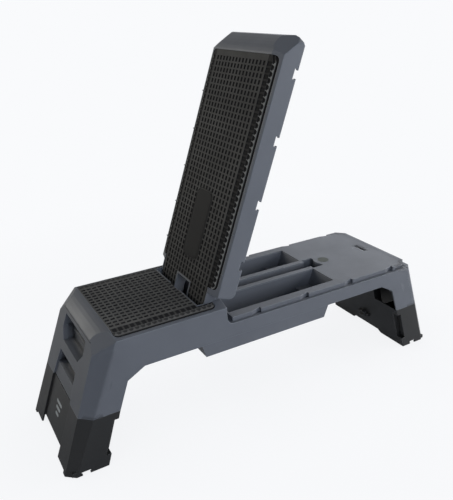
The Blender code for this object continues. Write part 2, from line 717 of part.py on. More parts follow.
def build_storage_tray():
    """Top of the tray block: a skinned plate with the openings, on its outer walls."""
    seat = LEDGE + GAP
    block = prism(block_plan(), seat, BLOCK_TOP, "Z")
    under = BLOCK_TOP - BLOCK_SKIN
    inside = prism(block_plan(BLOCK_SKIN), seat - 0.01, under, "Z")
    for side in (-1, 1):
        across = sorted((side * (TRAY_INNER - RIB), side * (TRAY_OUTER + RIB)))
        join(inside, box((TRAY_FRONT - RIB, 0.0), across, (seat - 0.01, under)))
    cut(block, inside)
    join_z = BLOCK_TOP - BLOCK_SKIN / 2
    for side in (-1, 1):
        cut(block, prism(tray_outline(0.0, BLOCK_TOP + 0.01),
                         *sorted((side * TRAY_INNER, side * TRAY_OUTER))))
    cut(block, channel_space(BLOCK_TOP + 0.01))
    for x in notch_centres():
        for side in (-1, 1):
            lip = side * (BLOCK_HALF + 0.001)
            wedge = [(x - RECESS_LENGTH / 2, lip), (x + RECESS_LENGTH / 2, lip),
                     (x + RECESS_LENGTH / 2, side * (BLOCK_HALF - RECESS_DEEP))]
            boss = [(x - RECESS_LENGTH / 2 - 0.003, side * (BLOCK_HALF - 0.001)),
                    (x + RECESS_LENGTH / 2 + 0.003, side * (BLOCK_HALF - 0.001)),
                    (x + RECESS_LENGTH / 2 + 0.003, side * (BLOCK_HALF - RECESS_DEEP - 0.003)),
                    (x + RECESS_LENGTH / 2 - 0.006, side * (BLOCK_HALF - RECESS_DEEP - 0.003))]
            join(block, prism(boss, seat, join_z, "Z"))
            cut(block, prism(wedge, seat - 0.005, BLOCK_TOP + 0.005, "Z"))
    cut(block, rod((PLUG_X, 0, BLOCK_TOP - 0.0016), (PLUG_X, 0, BLOCK_TOP + 0.01),
                   PLUG_RADIUS + GAP, 32))
    cut(block, rod((PLUG_X, 0, BLOCK_TOP - 0.01), (PLUG_X, 0, BLOCK_TOP + 0.01), 0.0030, 16))
    cut(block, box((SLOT_X - SLOT_WIDTH / 2, SLOT_X + SLOT_WIDTH / 2),
                   (SLOT_Y - SLOT_LENGTH / 2, SLOT_Y + SLOT_LENGTH / 2),
                   (BLOCK_TOP - 0.01, BLOCK_TOP + 0.01)))
    for sign in (-1, 1):
        x, y = SLOT_X + sign * SLOT_SCREW_X, SLOT_Y - sign * SLOT_SCREW_Y
        cut(block, rod((x, y, BLOCK_TOP - 0.01), (x, y, BLOCK_TOP + 0.01), 0.0015 + GAP, 12))
        cut(block, rod((x, y, BLOCK_TOP - 0.0012), (x, y, BLOCK_TOP + 0.01), 0.0028 + GAP, 16))
    return finish("storage_tray", block, GREY)


def channel_space(top):
    """Room of the prop's channel and of the well at its end, round the plug's island."""
    hole = box((CATCH_WELL_START, CATCH_WELL_END), (-CATCH_WELL_HALF, CATCH_WELL_HALF),
               (CHANNEL_FLOOR, top))
    cut(hole, rod((PLUG_X, 0, CHANNEL_FLOOR - 0.01), (PLUG_X, 0, top + 0.01), PLUG_ISLAND, 64))
    return join(hole, box((TRACK_START - 0.004, CATCH_WELL_START + 0.001),
                          (-CHANNEL_HALF, CHANNEL_HALF), (CHANNEL_FLOOR, top)))


def build_tray_liners():
    """Deep tray on each side of the channel, welded to the underside of the block's plate."""
    under = BLOCK_TOP - BLOCK_SKIN
    for side, name in ((-1, "front"), (1, "rear")):
        outer = sorted((side * (TRAY_INNER - RIB), side * (TRAY_OUTER + RIB)))
        liner = prism(tray_outline(RIB, under), *outer)
        cut(liner, prism(tray_outline(0.0, BLOCK_TOP + 0.01),
                         *sorted((side * TRAY_INNER, side * TRAY_OUTER))))
        finish(f"tray_liner_{name}", liner, GREY)


def build_channel_liner():
    """Channel and well of the prop, welded under the plate, on two cross webs."""
    under = BLOCK_TOP - BLOCK_SKIN
    web_half = TRAY_INNER - RIB
    channel = box((TRACK_START - 0.004 - RIB, CATCH_WELL_END + RIB),
                  (-CHANNEL_HALF - RIB, CHANNEL_HALF + RIB), (CHANNEL_FLOOR - RIB, under))
    well = box((CATCH_WELL_START - RIB, CATCH_WELL_END + RIB),
               (-CATCH_WELL_HALF - RIB, CATCH_WELL_HALF + RIB), (CHANNEL_FLOOR - RIB, under))
    join(channel, well)
    for side in (-1, 1):
        cut(channel, prism(tray_outline(RIB, BLOCK_TOP + 0.01),
                           *sorted((side * web_half, side * (TRAY_OUTER + RIB)))))
    for x in (-0.060, 0.080):
        join(channel, box((x - RIB / 2, x + RIB / 2), (-web_half, web_half),
                          (TRAY_FLOOR + 0.010, CHANNEL_FLOOR - RIB / 2)))
    cut(channel, channel_space(BLOCK_TOP + 0.01))
    finish("channel_liner", channel, GREY)


def build_belly_pan():
    """Pan that closes the underside below the trays."""
    outline = [(PAN_FRONT_UNDER, PAN_UNDER), (PAN_END_UNDER, PAN_UNDER), (PAN_END_TOP, PAN_TOP),
               (PAN_FRONT_TOP, PAN_TOP)]
    pan = prism(outline, -PAN_HALF, PAN_HALF)
    inner = [(PAN_FRONT_UNDER + PAN_SKIN, PAN_UNDER + PAN_SKIN),
             (PAN_END_UNDER - PAN_SKIN, PAN_UNDER + PAN_SKIN),
             (PAN_END_TOP - PAN_SKIN, PAN_TOP + 0.01), (PAN_FRONT_TOP + PAN_SKIN, PAN_TOP + 0.01)]
    cut(pan, prism(inner, -PAN_HALF + PAN_SKIN, PAN_HALF - PAN_SKIN))
    for x in PAN_SCREW_XS:
        for side in (-1, 1):
            y = sorted((side * (PAN_SCREW_Y - 0.006), side * (PAN_HALF - PAN_SKIN / 2)))
            join(pan, box((x - 0.006, x + 0.006), y, (PAN_UNDER + PAN_SKIN / 2, PAN_TOP)))
            spot = side * PAN_SCREW_Y
            cut(pan, rod((x, spot, PAN_UNDER - 0.01), (x, spot, PAN_TOP + 0.01), 0.0020 + GAP, 12))
            cut(pan, rod((x, spot, PAN_UNDER - 0.01), (x, spot, PAN_UNDER + 0.004), 0.0040 + GAP, 16))
    return finish("belly_pan", pan, GREY)


def build_pan_screws():
    """Screws that hold the belly pan."""
    corners = [(x, side) for x in PAN_SCREW_XS for side in (-1, 1)]
    for number, (x, side) in enumerate(corners, 1):
        y = side * PAN_SCREW_Y
        head = rod((x, y, PAN_UNDER + 0.0010), (x, y, PAN_UNDER + 0.0040 - GAP), 0.0038, 16)
        join(head, rod((x, y, PAN_UNDER + 0.003), (x, y, ARCH_RISE + 0.011), 0.0019, 12))
        cut(head, box((x - 0.0005, x + 0.0005), (y - 0.005, y + 0.005),
                      (PAN_UNDER, PAN_UNDER + 0.0020)))
        finish(f"pan_screw_{number}", head, STEEL)


def build_catch_parts():
    """Rubber plug, spring keeper under the catch slot and its screws."""
    plug = rod((PLUG_X, 0, BLOCK_TOP - 0.0013), (PLUG_X, 0, BLOCK_TOP + 0.0004), PLUG_RADIUS, 32)
    join(plug, rod((PLUG_X, 0, BLOCK_TOP - 0.008), (PLUG_X, 0, BLOCK_TOP - 0.001), 0.0026, 16))
    finish("block_plug", plug, SLATE_PLUG)
    under = BLOCK_TOP - BLOCK_SKIN - GAP
    half_x, half_y, leaf = SLOT_X, SLOT_Y, 0.0012
    wide = SLOT_SCREW_X + 0.006
    keeper = box((half_x - wide, half_x + wide),
                 (half_y - SLOT_LENGTH / 2 - 0.004, half_y + SLOT_LENGTH / 2 + 0.004),
                 (under - leaf, under))
    channel = SLOT_WIDTH / 2
    span_y = (half_y - SLOT_LENGTH / 2, half_y + SLOT_LENGTH / 2)
    for side in (-1, 1):
        x = sorted((half_x + side * (channel + 0.0005), half_x + side * (channel + 0.0005 + leaf)))
        join(keeper, box(x, span_y, (under - 0.013, under - leaf / 2)))
    cut(keeper, box((half_x - channel, half_x + channel), span_y, (under - 0.01, under + 0.01)))
    for sign in (-1, 1):
        x, y = half_x + sign * SLOT_SCREW_X, half_y - sign * SLOT_SCREW_Y
        cut(keeper, rod((x, y, under - 0.01), (x, y, under + 0.01), 0.0015 + GAP, 12))
        screw = rod((x, y, BLOCK_TOP - 0.0010), (x, y, BLOCK_TOP - 0.0002), 0.0028, 16)
        join(screw, rod((x, y, under - 0.005), (x, y, BLOCK_TOP - 0.0006), 0.0015, 12))
        finish(f"keeper_screw_{1 if sign < 0 else 2}", screw, STEEL)
    finish("catch_keeper", keeper, STEEL)


def build_prop_track():
    """Track with shallow scallops in the channel floor, which the prop's foot runs over."""
    crest = HINGE_Z - FOOT_BELOW_HINGE - FOOT_RADIUS - TRACK_CREST_CLEAR
    steps = 8
    count = round((TRACK_END - TRACK_START) / TRACK_PITCH * steps)
    top = []
    for i in range(count + 1):
        x = TRACK_START + (TRACK_END - TRACK_START) * i / count
        wave = 0.5 - 0.5 * math.cos(2 * math.pi * (x - prop_foot_x()) / TRACK_PITCH + math.pi)
        top.append((x, crest - TRACK_SCALLOP * wave))
    floor = CHANNEL_FLOOR + GAP
    outline = [(TRACK_START, floor)] + top + [(TRACK_END, floor)]
    track = prism(outline, -CHANNEL_HALF + 0.0005, CHANNEL_HALF - 0.0005)
    finish("prop_track", track, LEG_BLACK)


def back_outline(inset=0.0, drop=0.0, low=None):
    """Side outline of the backrest, lying flat; low leaves the underside open to it."""
    nose = shoulder(inset, drop)
    if low is not None:
        front = BACK_FRONT + inset
        edge = BACK_UNDER + NOSE_CUT_Z
        return [(front, low), (front, SEAT_TOP - drop)] + nose[::-1] + [
            (end_x(edge) - inset, edge), (end_x(edge) + 0.03, edge), (end_x(edge) + 0.03, low)]
    start = arc((BACK_FRONT + BACK_ROUND, BACK_UNDER + BACK_ROUND), BACK_ROUND, 180, 270, 5)[::-1]
    cut_x = end_x(BACK_UNDER + NOSE_CUT_Z)
    return start + [(BACK_FRONT, SEAT_TOP)] + nose[::-1] + [
        (cut_x, BACK_UNDER + NOSE_CUT_Z), (cut_x - NOSE_CUT_X, BACK_UNDER)]


def band_notches(shell, centres, edge, half, depth_y=0.03, sides=(-1, 1)):
    """Cut T-shaped band notches into the side walls, up from an edge."""
    mouth, inside = NOTCH_MOUTH / 2, NOTCH_INSIDE / 2
    for x in centres:
        outline = [(x - mouth, edge - 0.01), (x + mouth, edge - 0.01),
                   (x + mouth, edge + NOTCH_LIP), (x + inside, edge + NOTCH_LIP),
                   (x + inside, edge + NOTCH_DEEP), (x - inside, edge + NOTCH_DEEP),
                   (x - inside, edge + NOTCH_LIP), (x - mouth, edge + NOTCH_LIP)]
        for side in sides:
            cut(shell, prism(outline, *sorted((side * (half - depth_y), side * (half + 0.02)))))
    return shell


def back_ribs(shell):
    """Ribs inside the backrest, which stop short of the prop's bay."""
    roof = SEAT_TOP - PAD_THICK - PLATE_THICK + 0.001
    start, stop = BACK_FRONT + WALL / 2, SLOT_X - 0.014
    bay = BACK_RIB_HALVES[0]
    for half in BACK_RIB_HALVES:
        for side in (-1, 1):
            y = side * half
            join(shell, box((start, stop), (y - RIB / 2, y + RIB / 2), (BACK_RIB_UNDER, roof)))
    reach = side_y(BACK_RIB_UNDER) - WALL / 2
    x = start + BACK_RIB_PITCH * 0.55
    while x < stop - 0.02:
        for side in (-1, 1):
            y = sorted((side * bay, side * reach))
            join(shell, box((x - RIB / 2, x + RIB / 2), y, (BACK_RIB_UNDER + 0.001, roof - 0.0005)))
        x += BACK_RIB_PITCH
    return shell


def build_backrest_shell(parent):
    """Moulded backrest with its hinge tongue, finger opening, ribs and band notches."""
    under = PAD_THICK + PLATE_THICK
    slope = math.hypot(1.0, END_LEAN)
    shell = crowned(back_outline(), ends=(1,))
    hollow = crowned(back_outline(WALL * slope, under, 0.20), WALL, under, WALL, ends=(1,))
    cut(shell, hollow)
    tongue = box((TONGUE_FRONT, BACK_FRONT + WALL / 2), (-TONGUE_HALF, TONGUE_HALF),
                 (TONGUE_UNDER, SEAT_TOP))
    wall = WALL
    cut(tongue, box((TONGUE_FRONT + wall, BACK_FRONT), (-TONGUE_HALF + wall, TONGUE_HALF - wall),
                    (TONGUE_UNDER - 0.01, SEAT_TOP - under)))
    join(shell, tongue)
    rim = FINGER_HALF + FINGER_RIM
    join(shell, box((TONGUE_FRONT, FINGER_END + FINGER_RIM), (-rim, rim),
                    (TONGUE_UNDER, SEAT_TOP)))
    cut(shell, box((TONGUE_FRONT - 0.01, FINGER_END), (-FINGER_HALF, FINGER_HALF),
                   (TONGUE_UNDER - 0.01, SEAT_TOP + 0.01)))
    back_ribs(shell)
    for side in (-1, 1):
        boss = rod((HINGE_X, side * HINGE_PIN_INNER, HINGE_Z),
                   (HINGE_X, side * TONGUE_HALF, HINGE_Z), HINGE_BOSS)
        join(shell, boss)
        cut(shell, rod((HINGE_X, side * (HINGE_PIN_INNER - 0.005), HINGE_Z),
                       (HINGE_X, side * (TONGUE_HALF + 0.005), HINGE_Z),
                       HINGE_PIN_RADIUS + RUNNING))
    x, z = HINGE_X + PROP_PIVOT_ALONG, HINGE_Z - PROP_PIVOT_BELOW
    lug = PROP_EYE + 0.001
    roof = SEAT_TOP - under + 0.001
    bay = BACK_RIB_HALVES[0]
    for side in (-1, 1):
        y = sorted((side * (bay - 0.0045), side * (bay + RIB / 2 + 0.0005)))
        join(shell, box((x - lug, x + lug), y, (z - lug, roof - 0.0003)))
        cut(shell, rod((x, side * (bay - 0.008), z), (x, side * (bay + 0.008), z),
                       PROP_PIN_RADIUS + RUNNING))
    band_notches(shell, notch_centres(), BACK_UNDER, side_y(BACK_UNDER))
    cut(shell, pad_recess(back_pad_plan(GAP), PAD_THICK + GAP))
    return finish("backrest_shell", shell, GREY, parent)


def build_backrest_small_parts(parent):
    """Pad, catch tongue and prop pin of the backrest."""
    finish("backrest_pad", pad(back_pad_plan(), PAD_THICK), RUBBER, parent)
    roof = SEAT_TOP - PAD_THICK - PLATE_THICK - 2 * GAP
    x, y, half = SLOT_X, SLOT_Y, SLOT_LENGTH / 2 - 0.004
    side = [(x - 0.009, roof), (x - 0.009, roof - 0.003), (x - 0.0015, roof - 0.003),
            (x - 0.0015, BLOCK_TOP - 0.0125), (x, BLOCK_TOP - 0.014),
            (x + 0.0015, BLOCK_TOP - 0.0125), (x + 0.0015, roof)]
    catch = prism(side, y - half, y + half)
    finish("backrest_catch", catch, LEG_BLACK, parent)
    x, z = HINGE_X + PROP_PIVOT_ALONG, HINGE_Z - PROP_PIVOT_BELOW
    pin = rod((x, -PROP_PIN_HALF, z), (x, PROP_PIN_HALF, z), PROP_PIN_RADIUS, 20)
    finish("prop_pin", pin, STEEL, parent)


def raised(x, z):
    """World x and z of a point that is given with the backrest flat."""
    angle = math.radians(RAISED_ANGLE)
    dx, dz = x - HINGE_X, z - HINGE_Z
    return (HINGE_X + dx * math.cos(angle) - dz * math.sin(angle),
            HINGE_Z + dx * math.sin(angle) + dz * math.cos(angle))


def prop_foot_x():
    """World x of the prop's foot with the backrest raised."""
    x, z = raised(HINGE_X + PROP_PIVOT_ALONG, HINGE_Z - PROP_PIVOT_BELOW)
    drop = z - (HINGE_Z - FOOT_BELOW_HINGE)
    return x + math.sqrt(PROP_LENGTH ** 2 - drop ** 2)


def build_prop():
    """Prop arm and its foot, standing in the channel."""
    x, z = raised(HINGE_X + PROP_PIVOT_ALONG, HINGE_Z - PROP_PIVOT_BELOW)
    foot_x, foot_z = prop_foot_x(), HINGE_Z - FOOT_BELOW_HINGE
    empty = pivot("prop_pivot", (x, 0, z))
    along = Vector((foot_x - x, 0, foot_z - z)).normalized()
    across = Vector((along.z, 0, -along.x))
    start = Vector((x, 0, z))
    end = Vector((foot_x, 0, foot_z))

    def spot(base, a, b):
        point = base + along * a + across * b
        return (point.x, point.z)

    web = 0.0050
    outline = [spot(start, 0, -web), spot(end, 0, -web), spot(end, 0, web), spot(start, 0, web)]
    arm = prism(outline, -PROP_HALF, PROP_HALF)
    join(arm, rod((x, -PROP_HALF, z), (x, PROP_HALF, z), PROP_EYE, 28))
    join(arm, rod((foot_x, -PROP_HALF, foot_z), (foot_x, PROP_HALF, foot_z), 0.0046, 24))
    window = [spot(start, 0.030, -0.02), spot(end, -0.030, -0.02), spot(end, -0.030, 0.02),
              spot(start, 0.030, 0.02)]
    cut(arm, prism(window, -PROP_HALF + 0.0055, PROP_HALF - 0.0055))
    cut(arm, rod((x, -0.02, z), (x, 0.02, z), PROP_PIN_RADIUS + RUNNING, 20))
    cut(arm, box((foot_x - 0.012, foot_x + 0.012), (-0.02, 0.02), (foot_z - 0.012,
                                                                 foot_z - FOOT_RADIUS + 0.0004)))
    cut(arm, rod((foot_x, -0.02, foot_z), (foot_x, 0.02, foot_z), 0.0026 + GAP, 20))
    finish("prop_arm", arm, LEG_BLACK, empty)
    foot = rod((foot_x, -FOOT_HALF, foot_z), (foot_x, FOOT_HALF, foot_z), 0.0026, 20)
    for side in (-1, 1):
        join(foot, rod((foot_x, side * (PROP_HALF + GAP), foot_z),
                       (foot_x, side * FOOT_HALF, foot_z), FOOT_RADIUS, 20))
    finish("prop_foot", foot, STEEL, empty)


def build_hinge_pins():
    """Pins of the backrest hinge."""
    for name, side in (("front", -1), ("rear", 1)):
        pin = rod((HINGE_X, side * HINGE_PIN_INNER, HINGE_Z),
                  (HINGE_X, side * HINGE_PIN_OUTER, HINGE_Z), HINGE_PIN_RADIUS)
        finish(f"hinge_pin_{name}", pin, STEEL)


def leg_side_outline(inset=0.0, low=LEG_LIFT, high=JOINT_HEIGHT - GAP):
    """Side outline of the near leg, from the floor to the joint."""
    slope = math.hypot(1.0, END_LEAN)
    outer, inner = inset * slope, inset
    return [(-end_x(low) + outer, low), (-panel_x(low) - inner, low),
            (-panel_x(high) - inner, high), (-end_x(high) + outer, high)]


def panel_x(height):
    """Distance of the legs' inner faces from the middle at a height."""
    return HALF_LENGTH - LEG_FLOOR_DEPTH - PANEL_LEAN * height


def faceted(outline, end, side_inset=0.0):
    """Leg form of a side outline with the deck's draft and the corner facets of an end."""
    blank = prism(outline, -HALF_WIDTH, HALF_WIDTH)
    keep(blank, prism(cross_section(side_inset, 0.0), -LENGTH, LENGTH, "X"))
    return cut(blank, *corner_wedges(side_inset, (-1,), end))


def end_slab(half_low, half_high, low, high, start, depth):
    """Block behind the near end face, between two heights."""
    slope = math.hypot(1.0, END_LEAN)
    inward = Vector((1.0, 0.0, -END_LEAN)) / slope

    def placed(offset):
        points = []
        for y, z in ((-half_low, low), (half_low, low), (half_high, high), (-half_high, high)):
            spot = Vector((-end_x(z), y, z)) + inward * offset
            points.append(tuple(spot))
        return points

    return loft(placed(start), placed(depth))


def corner_pocket(side, grow=0.0):
    """Cutter for the pocket down the leg's inner corner."""
    low, high = CORNER_POCKET_LOW - grow, CORNER_POCKET_HIGH + grow
    depth = CORNER_POCKET_IN + grow
    outline = [(-panel_x(low) + 0.02, low), (-panel_x(low) - depth, low),
               (-panel_x(high) - depth, high), (-panel_x(high) + 0.02, high)]
    return prism(outline, *sorted((side * (CORNER_POCKET_HALF - grow), side * (HALF_WIDTH + 0.02))))


def cover_outer_x(height):
    """World x of the near leg's inner face."""
    return -panel_x(height)


def build_leg_shell(parent, name, end):
    """Outer shell of a leg: end wall, side walls, corner pockets and foot blocks."""
    shell = faceted(leg_side_outline(), end)
    hollow_outline = [(-end_x(-0.05) + WALL * 1.07, -0.05), (-panel_x(-0.05) + 0.03, -0.05),
                      (-panel_x(0.2) + 0.03, 0.2), (-end_x(0.2) + WALL * 1.07, 0.2)]
    hollow = faceted(hollow_outline, end, WALL)
    for side in (-1, 1):
        cut(hollow, corner_pocket(side, 0.003))
    cut(shell, hollow)
    sunk = PANEL_SUNK + 0.0025
    join(shell, end_slab(STRIP_INNER + 0.002, STRIP_INNER + 0.002, END_ARCH_RISE - 0.003,
                         JOINT_HEIGHT - GAP - 0.0001, WALL / 2, sunk + 0.001))
    cut(shell, end_slab(STRIP_INNER, STRIP_INNER, -0.02, JOINT_HEIGHT + 0.02, -0.01, PANEL_SUNK))
    for side in (-1, 1):
        cut(shell, corner_pocket(side))
        for from_toe, middle in (TOE_FOOT, HEEL_FOOT):
            x = -HALF_LENGTH + from_toe
            half = FOOT_LENGTH / 2 + 0.0006
            y = sorted((side * (middle - FOOT_WIDTH / 2 - 0.0008), side * (side_y(0.01) - WALL / 2)))
            join(shell, box((x - half, x + half), y, (FOOT_THICK + GAP, 0.0130)))
    cut(shell, end_slab(END_ARCH_HALF, END_ARCH_HALF, -0.02, END_ARCH_RISE, -0.01, 0.02))
    cut(shell, end_slab(END_TOE_HALF + 0.003, END_TOE_HALF, -0.02, END_TOE_RISE, -0.01, 0.008))
    for side, from_toe in FOOT_NOTCHES.items():
        band_notches(shell, [-HALF_LENGTH + from_toe], LEG_LIFT, HALF_WIDTH, 0.012, (side,))
    for side in (-1, 1):
        y = sorted((side * (TOWER_HALF + 0.030), side * (TOWER_HALF + 0.0325)))
        rib = [(-end_x(0.02) + 0.004, 0.020), (-panel_x(0.02) - COVER_SKIN - 0.008, 0.020),
               (-panel_x(0.125) - COVER_SKIN - 0.008, 0.125), (-end_x(0.125) + 0.004, 0.125)]
        join(shell, prism(rib, *y))
    return finish(name, shell, LEG_BLACK, parent)


def cover_outline(top):
    """Inner face of the cover in (y, z), up to a height."""
    half, narrow = side_y(LEG_LIFT) - WALL - 2 * GAP, side_y(top) - WALL - 2 * GAP
    return [(-half, LEG_LIFT), (-COVER_ARCH_HALF - 0.011, LEG_LIFT),
            (-COVER_ARCH_HALF, COVER_ARCH_RISE), (COVER_ARCH_HALF, COVER_ARCH_RISE),
            (COVER_ARCH_HALF + 0.011, LEG_LIFT), (half, LEG_LIFT), (narrow, top),
            (-narrow, top)]


def leaned(outline, start, depth):
    """Slab of a (y, z) outline behind the near leg's inner face."""
    slope = math.hypot(1.0, PANEL_LEAN)
    inward = Vector((-1.0, 0.0, PANEL_LEAN)) / slope
    lower = [tuple(Vector((cover_outer_x(z), y, z)) + inward * start) for y, z in outline]
    upper = [tuple(Vector((cover_outer_x(z), y, z)) + inward * depth) for y, z in outline]
    return loft(lower, upper)


def leg_axes():
    """Directions of the near leg's cover: up along it, and out towards the seat."""
    slope = math.hypot(1.0, PANEL_LEAN)
    up = Vector((PANEL_LEAN, 0.0, 1.0)) / slope
    out = Vector((1.0, 0.0, -PANEL_LEAN)) / slope
    return up, out


def build_leg_cover(parent):
    """Inner panel of a leg with the tower that hangs on the axle."""
    up, out = leg_axes()
    axle = Vector((-PIVOT_X, 0, PIVOT_Z))
    high = JOINT_HEIGHT - GAP - 0.0016
    cover = leaned(cover_outline(high), 0.0, COVER_SKIN)
    for side in (-1, 1):
        grown_pocket = corner_pocket(side, 0.003 + GAP)
        cut(cover, grown_pocket)
    tower = [(-TOWER_HALF, 0.105), (TOWER_HALF, 0.105), (TOWER_HALF, PIVOT_Z - 0.012),
             (-TOWER_HALF, PIVOT_Z - 0.012)]
    join(cover, leaned(tower, 0.0004, COVER_SKIN + 0.0004))
    face = (axle - Vector((cover_outer_x(PIVOT_Z), 0, PIVOT_Z))).dot(out)
    for side in (-1, 1):
        y = sorted((side * LUG_INNER, side * LUG_OUTER))
        back = -face - 0.0006
        flat = [(-0.012, -0.098), (back, -0.098)]
        flat += [point for point in arc((0.0, 0.0), LUG_RADIUS, 0, 190, 12) if point[0] < back]
        corners = [axle + out * a + up * b for a, b in flat]
        join(cover, prism([(p.x, p.z) for p in corners], *y))
        cut(cover, rod((axle.x, y[0] - 0.01, axle.z), (axle.x, y[1] + 0.01, axle.z),
                       AXLE_RADIUS + GAP))
        guide = sorted((side * (BOLT_HALF + GAP), side * (BOLT_HALF + GAP + 0.003)))
        corners = [axle + out * a + up * b for a, b in
                   ((back, -0.060), (back, -0.125), (-BOLT_THICK, -0.125), (-BOLT_THICK, -0.060))]
        join(cover, prism([(p.x, p.z) for p in corners], *guide))
    slot = [(-TOWER_SLOT_HALF, JOINT_HEIGHT + 0.020), (TOWER_SLOT_HALF, JOINT_HEIGHT + 0.020),
            (TOWER_SLOT_HALF, PIVOT_Z + 0.05), (-TOWER_SLOT_HALF, PIVOT_Z + 0.05)]
    cut(cover, leaned(slot, -0.01, COVER_SKIN + 0.01))
    knob = axle - up * KNOB_DOWN
    cut(cover, rod(knob + out * 0.05, knob - out * 0.002, KNOB_SHAFT + GAP))
    return finish("near_leg_cover", cover, LEG_BLACK, parent)


def build_leg_feet(parent):
    """Rubber feet under the four corners of a leg."""
    number = 0
    for from_toe, middle in (TOE_FOOT, HEEL_FOOT):
        for side in (-1, 1):
            number += 1
            x, y = -HALF_LENGTH + from_toe, side * middle
            pad_block = box((x - FOOT_LENGTH / 2, x + FOOT_LENGTH / 2),
                            (y - FOOT_WIDTH / 2, y + FOOT_WIDTH / 2), (0.0, FOOT_THICK))
            finish(f"near_leg_foot_{number}", pad_block, RUBBER, parent)


def build_leg_lock(parent):
    """Knob, crank and bolt that lock a leg to its index disc."""
    up, out = leg_axes()
    axle = Vector((-PIVOT_X, 0, PIVOT_Z))
    centre = axle - up * KNOB_DOWN
    face = (Vector((cover_outer_x(PIVOT_Z), 0, PIVOT_Z)) - axle).dot(out)
    knob_pivot = pivot("near_knob_pivot", centre + out * face, parent)
    front = face + GAP
    hub = rod(centre + out * front, centre + out * (front + 0.0100), KNOB_HUB, 28)
    wing = loft([centre + out * (front + 0.0004) + up * b + Vector((0, a, 0)) for a, b in
                 ((-KNOB_WING, -0.0045), (KNOB_WING, -0.0045), (KNOB_WING, 0.0045),
                  (-KNOB_WING, 0.0045))],
                [centre + out * (front + 0.0070) + up * b + Vector((0, a, 0)) for a, b in
                 ((-KNOB_WING + 0.001, -0.0035), (KNOB_WING - 0.001, -0.0035),
                  (KNOB_WING - 0.001, 0.0035), (-KNOB_WING + 0.001, 0.0035))])
    grip = loft([centre + out * (front + 0.0060) + up * b + Vector((0, a, 0)) for a, b in
                 ((-0.0100, -0.0020), (0.0100, -0.0020), (0.0100, 0.0020), (-0.0100, 0.0020))],
                [centre + out * (front + 0.0160) + up * b + Vector((0, a, 0)) for a, b in
                 ((-0.0080, -0.0015), (0.0080, -0.0015), (0.0080, 0.0015), (-0.0080, 0.0015))])
    plate_back = BOLT_THICK / 2 + 0.0010
    join(hub, wing, grip, rod(centre + out * (plate_back + 0.0033), centre + out * (front + 0.001),
                              KNOB_SHAFT, 24))
    finish("near_lock_knob", hub, LEG_BLACK, knob_pivot)
    crank = rod(centre + out * plate_back, centre + out * (plate_back + 0.0030), 0.0095, 28)
    pin_at = centre + Vector((0, CRANK_THROW, 0))
    join(crank, rod(pin_at - out * BOLT_THICK / 2, pin_at + out * (plate_back + 0.001),
                    CRANK_PIN_RADIUS, 16))
    finish("near_lock_crank", crank, STEEL, knob_pivot)
    tip, bottom, half = DISC_RADIUS + BOLT_CLEAR, KNOB_DOWN + 0.012, BOLT_THICK / 2
    flat = [(-BOLT_HALF, tip), (BOLT_HALF, tip), (BOLT_HALF, KNOB_DOWN - 0.014),
            (0.0130, KNOB_DOWN - 0.010), (0.0130, bottom), (-0.0130, bottom),
            (-0.0130, KNOB_DOWN - 0.010), (-BOLT_HALF, KNOB_DOWN - 0.014)]
    bolt = loft([axle - out * half - up * b + Vector((0, a, 0)) for a, b in flat],
                [axle + out * half - up * b + Vector((0, a, 0)) for a, b in flat])
    slack = CRANK_PIN_RADIUS + 0.0017
    hole = [axle + out * a - up * b for a, b in
            ((-0.02, KNOB_DOWN - slack), (0.02, KNOB_DOWN - slack), (0.02, KNOB_DOWN + slack),
             (-0.02, KNOB_DOWN + slack))]
    cut(bolt, prism([(p.x, p.z) for p in hole], -CRANK_PIN_RADIUS - 0.0008,
                    CRANK_THROW + CRANK_PIN_RADIUS + 0.0008))
    finish("near_lock_bolt", bolt, STEEL, parent)


def build_index_disc():
    """Disc round the axle with a notch for the bolt at each end of the fold."""
    up, out = leg_axes()
    axle = Vector((-PIVOT_X, 0, PIVOT_Z))
    disc = rod((axle.x, -DISC_HALF, axle.z), (axle.x, DISC_HALF, axle.z), DISC_RADIUS, 48)
    arm_low, arm_high = PIVOT_Z + 0.0075, PIVOT_Z + 0.0195
    wall = WALL * math.hypot(1.0, END_LEAN) + GAP
    arm = [(-end_x(arm_low) + wall, arm_low), (axle.x, arm_low), (axle.x, arm_high),
           (-end_x(arm_high) + wall, arm_high)]
    join(disc, prism([(x, z) for x, z in arm], -DISC_HALF, DISC_HALF))
    cut(disc, rod((axle.x, -0.02, axle.z), (axle.x, 0.02, axle.z), AXLE_RADIUS + GAP))
    half = BOLT_THICK / 2 + 0.0004
    for angle in (0.0, -FOLD_ANGLE):
        turn = Matrix.Rotation(math.radians(angle), 4, "Y")
        notch = [axle + turn @ (out * a - up * b) for a, b in
                 ((-half, DISC_RADIUS - DISC_NOTCH_DEEP), (half, DISC_RADIUS - DISC_NOTCH_DEEP),
                  (half, DISC_RADIUS + 0.01), (-half, DISC_RADIUS + 0.01))]
        cut(disc, prism([(p.x, p.z) for p in notch], -0.01, 0.01))
    return finish("near_index_disc", disc, STEEL)


def build_axle():
    """Rod that a leg swings on."""
    bar = rod((-PIVOT_X, -AXLE_HALF, PIVOT_Z), (-PIVOT_X, AXLE_HALF, PIVOT_Z), AXLE_RADIUS)
    return finish("near_leg_axle", bar, STEEL)


